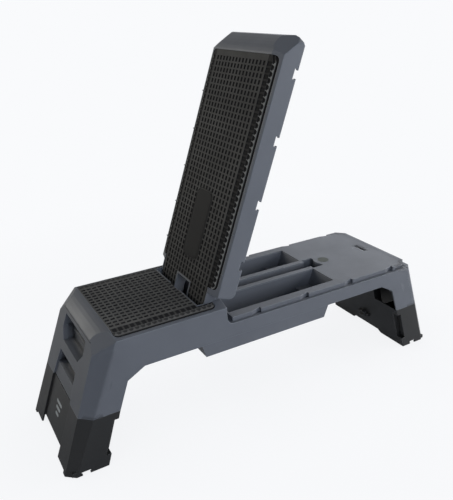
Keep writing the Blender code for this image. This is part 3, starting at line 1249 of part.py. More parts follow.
def copy_to_far_end(far_shell):
    """Give the far end its own pieces: the near end's, turned half round the middle.

    The far leg's shell has its own corners, so it comes ready made in the near leg's place.
    """
    turn = Matrix.Rotation(math.pi, 4, "Z")
    bpy.context.view_layer.update()
    knob_at = turn @ bpy.data.objects["near_knob_pivot"].matrix_world.translation
    leg_frame = pivot("far_leg_pivot", (PIVOT_X, 0, PIVOT_Z))
    knob_frame = pivot("far_knob_pivot", knob_at, leg_frame)
    for frame in (leg_frame, knob_frame):
        frame.rotation_euler = (0, 0, math.pi)
    bpy.context.view_layer.update()
    frames = {"near_leg_pivot": leg_frame, "near_knob_pivot": knob_frame}
    near = [piece for piece in bpy.data.objects
            if piece.name.startswith("near_") and piece.type == "MESH"]
    for piece in near:
        data = far_shell.data if piece.name == "near_leg_shell" else piece.data
        twin = bpy.data.objects.new(piece.name.replace("near_", "far_", 1), data)
        bpy.context.scene.collection.objects.link(twin)
        if piece.parent:
            twin.parent = frames[piece.parent.name]
            twin.matrix_parent_inverse = twin.parent.matrix_world.inverted()
        twin.matrix_basis = turn @ piece.matrix_world
    bpy.data.objects.remove(far_shell)


def main():
    """Build every piece and raise the backrest."""
    for old in list(bpy.data.objects):
        bpy.data.objects.remove(old)
    build_deck_shell()
    build_seat_pad()
    build_storage_tray()
    build_tray_liners()
    build_channel_liner()
    build_belly_pan()
    build_pan_screws()
    build_catch_parts()
    build_prop_track()
    build_hinge_pins()
    build_prop()
    hinge = pivot("backrest_pivot", (HINGE_X, 0, HINGE_Z))
    build_backrest_shell(hinge)
    build_backrest_small_parts(hinge)
    hinge.rotation_euler = (0, -math.radians(RAISED_ANGLE), 0)
    leg = pivot("near_leg_pivot", (-PIVOT_X, 0, PIVOT_Z))
    build_leg_shell(leg, "near_leg_shell", -1)
    far_shell = build_leg_shell(leg, "far_leg_shell_turned", 1)
    build_leg_cover(leg)
    build_leg_feet(leg)
    build_leg_lock(leg)
    build_index_disc()
    build_axle()
    copy_to_far_end(far_shell)


main()
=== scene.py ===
"""Looks of a folding exercise deck with a backrest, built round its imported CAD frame."""

import json  # noqa: E402
import logging  # noqa: E402
import math  # noqa: E402
from dataclasses import dataclass, field  # noqa: E402
from enum import Enum  # noqa: E402

import bpy  # noqa: E402
import numpy as np  # noqa: E402
from mathutils import Matrix, Vector  # noqa: E402


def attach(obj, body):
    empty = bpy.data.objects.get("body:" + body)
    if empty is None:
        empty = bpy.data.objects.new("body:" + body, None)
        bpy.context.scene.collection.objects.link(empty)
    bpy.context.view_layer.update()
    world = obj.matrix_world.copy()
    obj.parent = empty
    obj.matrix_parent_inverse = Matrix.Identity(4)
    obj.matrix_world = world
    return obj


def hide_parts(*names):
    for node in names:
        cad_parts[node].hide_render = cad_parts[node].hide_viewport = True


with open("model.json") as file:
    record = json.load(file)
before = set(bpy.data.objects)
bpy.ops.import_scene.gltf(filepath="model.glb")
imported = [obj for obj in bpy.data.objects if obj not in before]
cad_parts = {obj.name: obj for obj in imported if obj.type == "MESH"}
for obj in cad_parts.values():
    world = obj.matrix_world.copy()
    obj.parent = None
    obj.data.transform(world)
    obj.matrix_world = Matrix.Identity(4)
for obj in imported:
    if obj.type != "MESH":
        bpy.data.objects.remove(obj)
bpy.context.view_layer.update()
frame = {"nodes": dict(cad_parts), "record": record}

LOG = logging.getLogger("deck_looks")
Socket = bpy.types.NodeSocket
MM = 0.001

# Sizes that the CAD part and these looks share, in metres.
SEAT_TOP = 0.3155
CREST_HEIGHT = 0.3050
CREST_HALF = 0.14877
CROWN_HALF = 0.117
PAD_THICK = 0.004
PAD_HALF = 0.13977
PAD_CORNER = 0.012
HINGE = np.array((-0.1701, 0.3026))
RAISED = math.radians(71.2)
END_LEAN = 0.3592
HALF_LENGTH = 0.55
LEG_PIVOT = np.array((-0.41087483, 0.198))

# Directions of the near leg's end panel: up along it, and out of it.
PANEL_UP = np.array((0.338033, 0.0, 0.941134))
PANEL_OUT = np.array((-0.941134, 0.0, 0.338033))

# Grid positions closer than this, in metres, are the same one.
SAME = 1e-6

# Edges of a moulded rubber piece that are sharper than this, in degrees, stay crisp.
RUBBER_ANGLE = 40.0

# The catch keeper's screws, which are darker than the other steel.
KEEPER_SCREWS = ("keeper_screw_1", "keeper_screw_2")


def linear(hex_colour: str) -> tuple[float, float, float, float]:
    """Turn an sRGB hex colour into a linear RGBA tuple.

    Args:
        hex_colour: Six hex digits after a hash sign.

    Returns:
        Linear red, green and blue, with an alpha of 1.
    """
    parts = (int(hex_colour[i : i + 2], 16) / 255 for i in (1, 3, 5))
    low = [c / 12.92 if c <= 0.04045 else ((c + 0.055) / 1.055) ** 2.4 for c in parts]
    return (*low, 1.0)


def add(
    tree: bpy.types.NodeTree,
    kind: str,
    inputs: dict | None = None,
    stops: tuple[tuple[float, str], ...] = (),
    **settings,
) -> bpy.types.Node:
    """Add one node with its settings, values and links.

    Args:
        tree: Node tree that takes the node.
        kind: Type name of the node.
        inputs: Values or output sockets, by the name or number of the input.
        stops: Position and sRGB hex colour of each stop of a colour ramp, in order.
        **settings: Properties of the node itself.

    Returns:
        The new node.
    """
    made = tree.nodes.new(kind)
    for name, value in settings.items():
        setattr(made, name, value)
    for name, value in (inputs or {}).items():
        if isinstance(value, Socket):
            tree.links.new(value, made.inputs[name])
        else:
            made.inputs[name].default_value = value
    for index, (position, colour) in enumerate(stops):
        elements = made.color_ramp.elements
        element = elements[index] if index < len(elements) else elements.new(position)
        element.position = position
        element.color = linear(colour)
    return made


def start_material(name: str) -> tuple[bpy.types.Material, bpy.types.NodeTree, bpy.types.Node, Socket]:
    """Start a node material.

    Args:
        name: Name of the material.

    Returns:
        The material, its node tree, its shader, and the position in the piece's frame.
    """
    material = bpy.data.materials.new(name)
    material.use_nodes = True
    tree = material.node_tree
    shader = tree.nodes["Principled BSDF"]
    place = add(tree, "ShaderNodeTexCoord").outputs["Object"]
    return material, tree, shader, place


class Slot(Enum):
    """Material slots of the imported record."""

    SLATE = "slate_polypropylene"
    BLACK = "black_polypropylene"
    RUBBER = "black_rubber"
    PLUG = "slate_rubber"
    STEEL = "zinc_plated_steel"


@dataclass(frozen=True)
class MouldedPolypropylene:
    """Injection moulded polypropylene with a spark-eroded grain.

    The eye gets a satin face with a fine pebble, a faint drift of tone from the flow of
    the melt, and a painted highlight that makes open edges a little paler. The mould
    blends the upright corner facets softly into the sides, and a painted shadow line,
    standing in for the shade of a narrow gap, runs across the end faces where the
    shoulder's half of the mould meets the panel's.

    A real grain of this kind is about 0.3 mm across, and it is drawn coarser so that it
    shows. A pair of values below is where a share is 0 and where it is 1, apart from
    gloss_spread, which is what either end of the drift adds to the roughness.
    """

    name: str
    colour: str
    drift: str
    # Colour of the painted highlight on open edges.
    highlight_colour: str
    roughness: float = 0.46
    ior: float = 1.49
    grain: float = 1.1 * MM
    grain_depth: float = 0.05 * MM
    drift_size: float = 90 * MM
    drift_ends: tuple[float, float] = (0.3, 0.7)
    gloss_spread: tuple[float, float] = (-0.03, 0.04)
    edge: float = 1.5 * MM
    # Turns and strength of the painted edge highlight.
    highlight_turns: tuple[float, float] = (0.985, 0.88)
    highlight_strength: float = 0.7
    corner_reach: float = 4 * MM
    corner_air: tuple[float, float] = (0.70, 0.92)
    blend: float = 18 * MM
    blend_reach: tuple[float, float] = (24 * MM, 19 * MM)
    blend_heights: tuple[float, float] = (0.292, 0.284)
    facet_lean: float = 0.4025
    facet_foot: float = 0.5280
    rim: float = 3.5 * MM
    rim_reach: tuple[float, float] = (7 * MM, 6 * MM)
    rim_heights: tuple[float, float] = (0.286, 0.290)
    # How much the rims dull the painted edge highlight.
    rim_highlight_cut: float = 0.5
    # Colour of the painted shadow line across the end faces.
    seam_shadow_colour: str = "#1c1d1e"
    seam_height: float = 0.2894
    seam_reach: tuple[float, float] = (1.0 * MM, 0.7 * MM)
    face_reach: tuple[float, float] = (1.2 * MM, 0.9 * MM)

    def build(self) -> bpy.types.Material:
        """Make the material.

        Returns:
            The node material.
        """
        material, tree, shader, place = start_material(self.name)
        flow = add(
            tree,
            "ShaderNodeTexNoise",
            {"Vector": place, "Scale": 1 / self.drift_size, "Detail": 3.0, "Roughness": 0.55},
        )
        thin, thick = self.drift_ends
        tone = add(
            tree,
            "ShaderNodeValToRGB",
            {"Fac": flow.outputs["Fac"]},
            ((thin, self.colour), (thick, self.drift)),
        )
        radius, dulled, seam_shadow = self.places(tree, place)
        rounded = add(tree, "ShaderNodeBevel", {"Radius": radius}, samples=6)
        flat = add(tree, "ShaderNodeNewGeometry").outputs["Normal"]
        turned = add(
            tree,
            "ShaderNodeVectorMath",
            {0: rounded.outputs["Normal"], 1: flat},
            operation="DOT_PRODUCT",
        )
        # Painted highlight: the colour goes paler where the rounded normal turns from the flat one, only on
        # open edges, and less on the soft corners and rims.
        start, full = self.highlight_turns
        edge_highlight = add(
            tree,
            "ShaderNodeMapRange",
            {"Value": turned.outputs["Value"], "From Min": start, "From Max": full, "To Max": self.highlight_strength},
        )
        air = add(tree, "ShaderNodeAmbientOcclusion", {"Distance": self.corner_reach}, samples=6)
        none, full = self.corner_air
        outer = add(
            tree,
            "ShaderNodeMapRange",
            {"Value": air.outputs["AO"], "From Min": none, "From Max": full},
            interpolation_type="SMOOTHSTEP",
        ).outputs["Result"]
        crisp = add(tree, "ShaderNodeMath", {0: 1.0, 1: dulled}, operation="SUBTRACT").outputs[0]
        edge_highlight_share = edge_highlight.outputs["Result"]
        for factor in (crisp, outer):
            edge_highlight_share = add(tree, "ShaderNodeMath", {0: edge_highlight_share, 1: factor}, operation="MULTIPLY").outputs[0]
        # Paint the edge highlight, then the painted shadow line, over the drifting tone.
        colour = tone.outputs["Color"]
        for factor, over in ((edge_highlight_share, self.highlight_colour), (seam_shadow, self.seam_shadow_colour)):
            layers = {0: factor, 6: colour, 7: linear(over)}
            colour = add(tree, "ShaderNodeMix", layers, data_type="RGBA").outputs[2]
        tree.links.new(colour, shader.inputs["Base Color"])
        pebble = add(
            tree,
            "ShaderNodeTexVoronoi",
            {"Vector": place, "Scale": 1 / self.grain},
            feature="SMOOTH_F1",
        )
        bump = add(
            tree,
            "ShaderNodeBump",
            {
                "Strength": 0.6,
                "Distance": self.grain_depth,
                "Height": pebble.outputs["Distance"],
                "Normal": rounded.outputs["Normal"],
            },
        )
        tree.links.new(bump.outputs["Normal"], shader.inputs["Normal"])
        satin = add(
            tree,
            "ShaderNodeMapRange",
            {
                "Value": flow.outputs["Fac"],
                "From Min": thin,
                "From Max": thick,
                "To Min": self.roughness + self.gloss_spread[0],
                "To Max": self.roughness + self.gloss_spread[1],
            },
        )
        tree.links.new(satin.outputs["Result"], shader.inputs["Roughness"])
        shader.inputs["IOR"].default_value = self.ior
        return material

    def places(self, tree: bpy.types.NodeTree, place: Socket) -> tuple[Socket, Socket, Socket]:
        """Find the soft corner edges, the round rims and the painted shadow line from the position.

        At either end, the edge between a corner facet and a side stands at the facet's foot
        less the height times its lean, and the end face in the same way at half the length
        less the height times the end's lean. The rims run beside the pads on both sides, and
        the soft edges end below them. Each kind of place is the product of two smooth shares:
        1 where a distance or a height is past the second of two values, 0 before the first.

        Args:
            tree: Node tree of the material.
            place: Position in the piece's frame.

        Returns:
            The edge radius, the share by which the painted edge highlight is dulled, and the share of painted
            shadow line.
        """
        axes = add(tree, "ShaderNodeSeparateXYZ", {0: place})
        out = add(tree, "ShaderNodeMath", {0: axes.outputs["X"]}, operation="ABSOLUTE").outputs[0]
        side = add(tree, "ShaderNodeMath", {0: axes.outputs["Y"]}, operation="ABSOLUTE").outputs[0]
        height = axes.outputs["Z"]
        corner = self.distance(tree, height, out, self.facet_lean, self.facet_foot)
        beside = self.distance(tree, height, side, 0.0, CREST_HALF - self.rim / 2)
        # The painted shadow line lies on the end faces, at the seam's height.
        face = self.distance(tree, height, out, END_LEAN, HALF_LENGTH)
        away = self.distance(tree, height, height, 0.0, self.seam_height)
        pairs = (
            ((corner, self.blend_reach), (height, self.blend_heights)),
            ((beside, self.rim_reach), (height, self.rim_heights)),
            ((face, self.face_reach), (away, self.seam_reach)),
        )
        shares = []
        for pair in pairs:
            both = [
                add(
                    tree,
                    "ShaderNodeMapRange",
                    {"Value": value, "From Min": none, "From Max": full},
                    interpolation_type="SMOOTHSTEP",
                ).outputs["Result"]
                for value, (none, full) in pair
            ]
            shares.append(add(tree, "ShaderNodeMath", dict(enumerate(both)), operation="MULTIPLY").outputs[0])
        soft, rim, seam_shadow = shares
        radius: float | Socket = self.edge
        for share, widest in ((soft, self.blend), (rim, self.rim)):
            terms = {0: share, 1: widest - self.edge, 2: radius}
            radius = add(tree, "ShaderNodeMath", terms, operation="MULTIPLY_ADD").outputs[0]
        # The painted edge highlight is dulled on the soft corners and partly on the rims.
        terms = {0: rim, 1: self.rim_highlight_cut, 2: soft}
        dulled = add(tree, "ShaderNodeMath", terms, operation="MULTIPLY_ADD", use_clamp=True).outputs[0]
        return radius, dulled, seam_shadow

    @staticmethod
    def distance(tree: bpy.types.NodeTree, height: Socket, out: Socket, lean: float, foot: float) -> Socket:
        """Distance from a line that leans inwards with height.

        The position outwards, plus the lean times the height, less the line's foot, with its
        sign taken off.

        Args:
            tree: Node tree of the material.
            height: Height above the floor.
            out: Position outwards from the middle.
            lean: Metres that the line moves inwards for each metre of height.
            foot: Where it would meet the floor.

        Returns:
            The distance, never negative.
        """
        total = add(tree, "ShaderNodeMath", {0: height, 1: lean, 2: out}, operation="MULTIPLY_ADD").outputs[0]
        past = add(tree, "ShaderNodeMath", {0: total, 1: foot}, operation="SUBTRACT").outputs[0]
        return add(tree, "ShaderNodeMath", {0: past}, operation="ABSOLUTE").outputs[0]


@dataclass(frozen=True)
class MouldedRubber:
    """Compression moulded rubber with a matt, slightly chalky skin.

    The eye gets a soft broad sheen, a fine speckle, and a tone by depth below the ribs:
    a painted highlight on the ribs and painted shade in the pits and on the edge that drops
    to the shell. The speckle is drawn coarser than the real one so that it shows.
    """

    name: str
    # Colours by depth: rib is a painted highlight, colour the plain rubber, low the painted shade deep in the
    # pits.
    rib: str
    colour: str
    low: str
    roughness: float = 0.62
    specular: float = 0.12
    speckle: float = 0.8 * MM
    speckle_depth: float = 0.06 * MM
    drift_size: float = 60 * MM
    drift_share: float = 0.08
    depth_reach: float = 2.2 * MM
    shade_stops: tuple[float, float] = (0.22, 0.65)

    def build(self) -> bpy.types.Material:
        """Make the material.

        Returns:
            The node material.
        """
        material, tree, shader, place = start_material(self.name)
        depth = add(tree, "ShaderNodeAttribute", attribute_name="pit_depth")
        fine = add(
            tree,
            "ShaderNodeTexNoise",
            {"Vector": place, "Scale": 1 / self.speckle, "Detail": 2.0},
        )
        drift = add(
            tree,
            "ShaderNodeTexNoise",
            {"Vector": place, "Scale": 1 / self.drift_size, "Detail": 2.0},
        )
        sunk = add(
            tree,
            "ShaderNodeMapRange",
            {"Value": depth.outputs["Fac"], "From Min": 0.0, "From Max": self.depth_reach},
        )
        tone = add(
            tree,
            "ShaderNodeMath",
            {0: drift.outputs["Fac"], 1: -self.drift_share, 2: sunk.outputs["Result"]},
            operation="MULTIPLY_ADD",
        )
        # Painted light by depth: pale on the ribs, dark down in the pits and on the dropped edge.
        face, floor = self.shade_stops
        shade = add(
            tree,
            "ShaderNodeValToRGB",
            {"Fac": tone.outputs["Value"]},
            ((0.0, self.rib), (face, self.colour), (floor, self.low)),
        )
        tree.links.new(shade.outputs["Color"], shader.inputs["Base Color"])
        bump = add(
            tree,
            "ShaderNodeBump",
            {"Strength": 0.5, "Distance": self.speckle_depth, "Height": fine.outputs["Fac"]},
        )
        tree.links.new(bump.outputs["Normal"], shader.inputs["Normal"])
        shader.inputs["Roughness"].default_value = self.roughness
        shader.inputs["Specular IOR Level"].default_value = self.specular
        return material


@dataclass(frozen=True)
class ZincPlatedSteel:
    """Cold-drawn steel with a bright zinc plate.

    The eye gets a metal that clouds from a dull grey to its own tone, and whose gloss
    clouds with it. A passivated plate has a darker tone of its own.
    """

    name: str
    colour: str
    cloud: str = "#8f9396"
    cloud_size: float = 4 * MM
    roughness: float = 0.3
    gloss_spread: tuple[float, float] = (-0.06, 0.1)

    def build(self) -> bpy.types.Material:
        """Make the material.

        Returns:
            The node material.
        """
        material, tree, shader, place = start_material(self.name)
        cloud = add(
            tree,
            "ShaderNodeTexNoise",
            {"Vector": place, "Scale": 1 / self.cloud_size, "Detail": 4.0},
        ).outputs["Fac"]
        tone = add(tree, "ShaderNodeValToRGB", {"Fac": cloud}, ((0.35, self.cloud), (0.65, self.colour)))
        smooth, dull = self.gloss_spread
        gloss = add(
            tree,
            "ShaderNodeMapRange",
            {"Value": cloud, "To Min": self.roughness + smooth, "To Max": self.roughness + dull},
        )
        tree.links.new(tone.outputs["Color"], shader.inputs["Base Color"])
        tree.links.new(gloss.outputs["Result"], shader.inputs["Roughness"])
        shader.inputs["Metallic"].default_value = 1.0
        return material


@dataclass(frozen=True)
class PrintedMark:
    """Pad-printed ink on moulded plastic: an even pale film with a faint mottle."""

    name: str
    colour: str
    thin: str = "#a9afb2"
    mottle_size: float = 2 * MM
    roughness: float = 0.42

    def build(self) -> bpy.types.Material:
        """Make the material.

        Returns:
            The node material.
        """
        material, tree, shader, place = start_material(self.name)
        mottle = add(
            tree,
            "ShaderNodeTexNoise",
            {"Vector": place, "Scale": 1 / self.mottle_size, "Detail": 3.0},
        ).outputs["Fac"]
        tone = add(tree, "ShaderNodeValToRGB", {"Fac": mottle}, ((0.3, self.thin), (0.7, self.colour)))
        tree.links.new(tone.outputs["Color"], shader.inputs["Base Color"])
        shader.inputs["Roughness"].default_value = self.roughness
        return material


def mesh_piece(
    name: str, points: np.ndarray, faces: np.ndarray | list, smooth_angle: float = 32.0
) -> bpy.types.Object:
    """Make an object from points and faces, shaded smooth below an angle.

    Args:
        name: Name of the piece.
        points: Vertices, one row each, in metres in the object's frame.
        faces: Vertex numbers of each face, counter-clockwise from outside.
        smooth_angle: Edges sharper than this, in degrees, stay crisp.

    Returns:
        The linked object, at the origin.
    """
    mesh = bpy.data.meshes.new(name)
    rows = faces.tolist() if isinstance(faces, np.ndarray) else faces
    mesh.from_pydata(points.tolist(), [], rows)
    mesh.validate()
    mesh.shade_smooth()
    mesh.set_sharp_from_angle(angle=math.radians(smooth_angle))
    piece = bpy.data.objects.new(name, mesh)
    bpy.context.scene.collection.objects.link(piece)
    return piece


def settle(
    piece: bpy.types.Object,
    body: str,
    material: bpy.types.Material,
    nodes: tuple[str, ...] = (),
) -> None:
    """Dress a piece, put it on its body and report it.

    Args:
        piece: The finished piece.
        body: CAD body that it moves with.
        material: Its material.
        nodes: CAD nodes that it stands for.
    """
    piece.data.materials.clear()
    piece.data.materials.append(material)
    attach(piece, body)
    if nodes:
        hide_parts(*nodes)
    LOG.info("%s: %d faces on %s", piece.name, len(piece.data.polygons), body)


def mark_depth(piece: bpy.types.Object, depths: np.ndarray) -> None:
    """Keep the depth of each vertex below the ridges as an attribute.

    Args:
        piece: The piece.
        depths: One depth in metres for each vertex.
    """
    layer = piece.data.attributes.new("pit_depth", "FLOAT", "POINT")
    layer.data.foreach_set("value", depths.astype(np.float32))


def crown_height(y: np.ndarray) -> np.ndarray:
    """Height of the deck's top across it.

    Level inside the crown's half width, then a straight fall to the crest.

    Args:
        y: Distances from the middle, in metres.

    Returns:
        Heights above the floor, in metres.
    """
    fall = (SEAT_TOP - CREST_HEIGHT) / (CREST_HALF - CROWN_HALF)
    return SEAT_TOP - np.maximum(np.abs(y) - CROWN_HALF, 0.0) * fall


def raised(points: np.ndarray) -> np.ndarray:
    """Turn points from the backrest's flat position to its raised one.

    Args:
        points: Points with the backrest flat on the deck, one row each.

    Returns:
        The same points, turned about the hinge.
    """
    along = points[:, 0] - HINGE[0]
    above = points[:, 2] - HINGE[1]
    cosine = math.cos(RAISED)
    sine = math.sin(RAISED)
    turned = points.copy()
    turned[:, 0] = HINGE[0] + along * cosine - above * sine
    turned[:, 2] = HINGE[1] + along * sine + above * cosine
    return turned


@dataclass
class StuddedPad:
    """Rubber pad with rows of pits and ribs, a border of long cells and a row of teeth.

    The plan is a grid of lines at the rims and floors of the pits and along the ribs. A
    cell of the grid is kept where the pad is, and the same grid, pushed down by the pad's
    thickness, closes it underneath.
    """

    name: str
    first: float
    pitch: float
    count: int
    pit_half: float = 5.1 * MM
    floor_half: float = 4.1 * MM
    depth: float = 2.4 * MM
    row_pitch: float = 14.06 * MM
    row_count: int = 15
    row_half: float = 3.9 * MM
    row_floor_half: float = 2.6 * MM
    rib_half: float = 2.4 * MM
    rib_rise: float = 0.5 * MM
    cell_inner: float = 0.1108
    cell_outer: float = 0.1228
    cell_slope: float = 1.2 * MM
    cell_sink: float = 0.5 * MM
    cell_depth: float = 2.4 * MM
    tooth_tip: float = 0.1254
    tooth_base: float = 0.1328
    tooth_extra: float = 0.2 * MM
    tooth_depth: float = 1.0 * MM
    tooth_top: float = 0.0
    edge_start: float = 0.1340
    edge_run: float = 1.0 * MM
    edge_depth: float = 1.7 * MM
    under_lift: float = 0.1 * MM
    line_gap: float = 0.35 * MM
    corner_step: float = 0.3 * MM

    @staticmethod
    def pit_profile(value: np.ndarray, centres: np.ndarray, half: float, floor_half: float) -> np.ndarray:
        """Share of full depth along one direction: 1 on the floors, 0 on the ridges.

        Half the width less the distance from the nearest middle, over the width of the
        slope, held between 0 and 1.

        Args:
            value: Positions along the direction.
            centres: Middles of the pits.
            half: Half width of a pit at its rim.
            floor_half: Half width of its floor.

        Returns:
            One share for each position.
        """
        away = np.abs(value[:, None] - centres[None, :]).min(axis=1)
        return np.clip((half - away) / (half - floor_half), 0.0, 1.0)

    def centres_x(self) -> np.ndarray:
        """Middles of the pits along the deck."""
        return self.first + self.pitch * np.arange(self.count)

    def centres_y(self) -> np.ndarray:
        """Middles of the pits across the deck."""
        return (np.arange(self.row_count) - (self.row_count - 1) / 2) * self.row_pitch

    def middles_y(self) -> np.ndarray:
        """Middles of the ribs across the deck, one outside each row of pits."""
        return (np.arange(self.row_count + 1) - self.row_count / 2) * self.row_pitch

    def grid(self) -> tuple[np.ndarray, np.ndarray]:
        """Lines of the grid along and across the deck.

        Returns:
            Sorted positions along X and along Y.
        """
        half = self.pit_half
        steps = np.array((-half, -self.floor_half, -0.5 * half, 0.0, 0.5 * half, self.floor_half, half))
        along = (self.centres_x()[:, None] + steps).ravel()
        steps = np.array((-self.row_half, -self.row_floor_half, self.row_floor_half, self.row_half))
        pits = (self.centres_y()[:, None] + steps).ravel()
        ribs = (self.middles_y()[:, None] + np.array((-1.0, 0.0, 1.0)) * self.rib_half).ravel()
        across = np.concatenate((pits, ribs))
        border = np.array((
            self.cell_inner - self.cell_slope,
            self.cell_inner,
            self.cell_outer,
            self.cell_outer + self.cell_slope,
            *np.linspace(self.tooth_tip, self.tooth_base, 4),
            self.edge_start,
            self.edge_start + self.edge_run,
            PAD_HALF,
        ))
        lines_x, lines_y = self.lines()
        xs = np.unique(np.round(np.concatenate((along, lines_x)), 6))
        ys = np.unique(np.round(np.concatenate((across, border, -border, lines_y)), 6))
        return self.thinned(xs, lines_x), self.thinned(ys, [*lines_y, PAD_HALF, -PAD_HALF])

    def thinned(self, lines: np.ndarray, kept: list[float]) -> np.ndarray:
        """Drop lines that lie too close to one that has to stay.

        Args:
            lines: Sorted positions.
            kept: Positions that have to stay.

        Returns:
            The positions that are left.
        """
        fixed = np.array(kept)
        away = np.abs(lines[:, None] - fixed[None, :]).min(axis=1)
        return lines[(away < SAME) | (away > self.line_gap)]

    def sunk(self, x: np.ndarray, y: np.ndarray) -> np.ndarray:
        """Depth of the pattern below the ribs at each grid point.

        A pit's depth is the smaller share of its two profiles. A rib is a low gable between
        two rows of pits, as long as a pit. The border has one long cell for each pit, a
        tooth that narrows inwards, and an edge that drops to the shell.

        Args:
            x: Positions along the deck, as a column.
            y: Positions across it, as a row.

        Returns:
            Depths in metres, one row for each x.
        """
        pits_x = self.pit_profile(x, self.centres_x(), self.pit_half, self.floor_half)
        pits_y = self.pit_profile(y, self.centres_y(), self.row_half, self.row_floor_half)
        level = self.rib_rise
        depth = level + (self.depth - level) * np.minimum(pits_x[:, None], pits_y[None, :])
        aside = np.abs(y[:, None] - self.middles_y()[None, :]).min(axis=1)
        gable = np.clip(1.0 - aside / self.rib_half, 0.0, 1.0)
        depth -= self.rib_rise * np.minimum(pits_x[:, None], gable[None, :])
        out = np.abs(y)
        slope = self.cell_slope
        inwards = np.minimum(out - self.cell_inner + slope, self.cell_outer + slope - out)
        cell = np.clip(inwards / slope, 0, 1)
        floor = self.cell_sink + (self.cell_depth - level - self.cell_sink) * pits_x
        depth = np.maximum(depth, level + floor[:, None] * cell[None, :])
        away = np.abs(x[:, None] - self.centres_x()[None, :]).min(axis=1)
        share = np.clip((out - self.tooth_tip) / (self.tooth_base - self.tooth_tip), 0, 1)
        inside = (out > self.tooth_tip - SAME) & (out < self.tooth_base + SAME)
        tooth = away[:, None] < share[None, :] * self.pit_half + self.tooth_extra
        row = np.where(tooth, self.tooth_top, level + self.tooth_depth)
        depth = np.where(inside[None, :], row, depth)
        drop = np.clip((out - self.edge_start) / self.edge_run, 0, 1)
        return np.maximum(depth, self.edge_depth * drop[None, :] * np.ones_like(x)[:, None])

    def half_width(self, x: np.ndarray) -> np.ndarray:
        """Half width of the outline, which has rounded corners.

        Args:
            x: Positions along the deck.

        Returns:
            Half widths in metres.
        """
        start, end = self.corner_ends()
        away = np.clip(PAD_CORNER - np.minimum(np.abs(x - start), np.abs(x - end)), 0, PAD_CORNER)
        return PAD_HALF - PAD_CORNER + np.sqrt(PAD_CORNER**2 - away**2)

    def corner_ends(self) -> tuple[float, float]:
        """Ends of the pad whose corners are rounded."""
        raise NotImplementedError

    def lines(self) -> tuple[list[float], list[float]]:
        """Grid lines that the outline needs, along and across the deck."""
        raise NotImplementedError

    def kept(self, x: np.ndarray, y: np.ndarray) -> np.ndarray:
        """Cells of the grid that belong to the pad, by their middles."""
        raise NotImplementedError

    def place(self, points: np.ndarray) -> np.ndarray:
        """Put points of the flat pad where the pad is."""
        return points

    def build(self) -> bpy.types.Object:
        """Make the pad.

        The border is squeezed inwards where the outline's rounded corners need it. The top
        is the crown less the pattern's depth, and the underside the crown less the
        thickness.

        Returns:
            The piece, with the depth below the ridges kept as an attribute.
        """
        xs, ys = self.grid()
        mask = self.kept((xs[:-1] + xs[1:]) / 2, (ys[:-1] + ys[1:]) / 2)
        depth = self.sunk(xs, ys)
        x, y = np.meshgrid(xs, ys, indexing="ij")
        squeeze = (self.half_width(x) - self.cell_inner) / (PAD_HALF - self.cell_inner)
        past = np.abs(y) - self.cell_inner
        y = np.where(past > 0, np.sign(y) * (self.cell_inner + past * squeeze), y)
        crown = crown_height(y)
        top = np.stack((x, y, crown - depth), axis=-1).reshape(-1, 3)
        low = np.stack((x, y, crown - PAD_THICK + self.under_lift), axis=-1).reshape(-1, 3)
        faces = self.faces(mask, len(xs), len(ys))
        points = np.concatenate((top, low))
        used, index = np.unique(faces, return_inverse=True)
        depths = np.concatenate((depth.ravel(), np.full(depth.size, self.depth)))[used]
        piece = mesh_piece(self.name, self.place(points[used]), index.reshape(faces.shape), RUBBER_ANGLE)
        mark_depth(piece, depths)
        return piece

    @staticmethod
    def faces(mask: np.ndarray, count_x: int, count_y: int) -> np.ndarray:
        """Quads of the top, the underside and the edge walls.

        Args:
            mask: Cells that are kept.
            count_x: Grid lines along the deck.
            count_y: Grid lines across it.

        Returns:
            Vertex numbers, four to a row, counter-clockwise from outside.
        """
        number = np.arange(count_x * count_y).reshape(count_x, count_y)
        a, b = number[:-1, :-1], number[1:, :-1]
        c, d = number[1:, 1:], number[:-1, 1:]
        under = count_x * count_y
        top = np.stack((a, b, c, d), axis=-1)[mask]
        bottom = np.stack((a, d, c, b), axis=-1)[mask] + under
        padded = np.pad(mask, 1)
        inner = padded[1:-1, 1:-1]
        walls = []
        for start, end, beyond in (
            (a, b, padded[1:-1, :-2]),
            (b, c, padded[2:, 1:-1]),
            (c, d, padded[1:-1, 2:]),
            (d, a, padded[:-2, 1:-1]),
        ):
            edge = inner & ~beyond
            walls.append(np.stack((end, start, start + under, end + under), axis=-1)[edge])
        return np.concatenate((top, bottom, *walls))


@dataclass
class SeatPad(StuddedPad):
    """Pad on the fixed seat, with an ear on each side of the backrest's tongue."""

    name: str = "seat_pad_studded"
    first: float = -0.3962
    pitch: float = 13.54 * MM
    count: int = 18
    front: float = -0.4045
    rear: float = -0.2005
    ear_rear: float = -0.1600
    ear_inner: float = 0.1188
    tooth_depth: float = 0.7 * MM
    tooth_top: float = 0.5 * MM
    cell_depth: float = 1.5 * MM
    front_step: float = 0.8 * MM

    def corner_ends(self) -> tuple[float, float]:
        """Ends of the pad whose corners are rounded."""
        return self.front, self.ear_rear

    def lines(self) -> tuple[list[float], list[float]]:
        """Grid lines of the seat's ends, its corners and its two ears."""
        along = [self.front, self.front + self.front_step, self.rear]
        along += [self.ear_rear - self.corner_step, self.ear_rear]
        return along, [-self.ear_inner, self.ear_inner]

    def kept(self, x: np.ndarray, y: np.ndarray) -> np.ndarray:
        """Cells of the seat and of its two ears."""
        seat = ((x > self.front) & (x < self.rear))[:, None]
        ear = ((x > self.rear) & (x < self.ear_rear))[:, None]
        beside = (np.abs(y) > self.ear_inner)[None, :]
        return seat | ear & beside


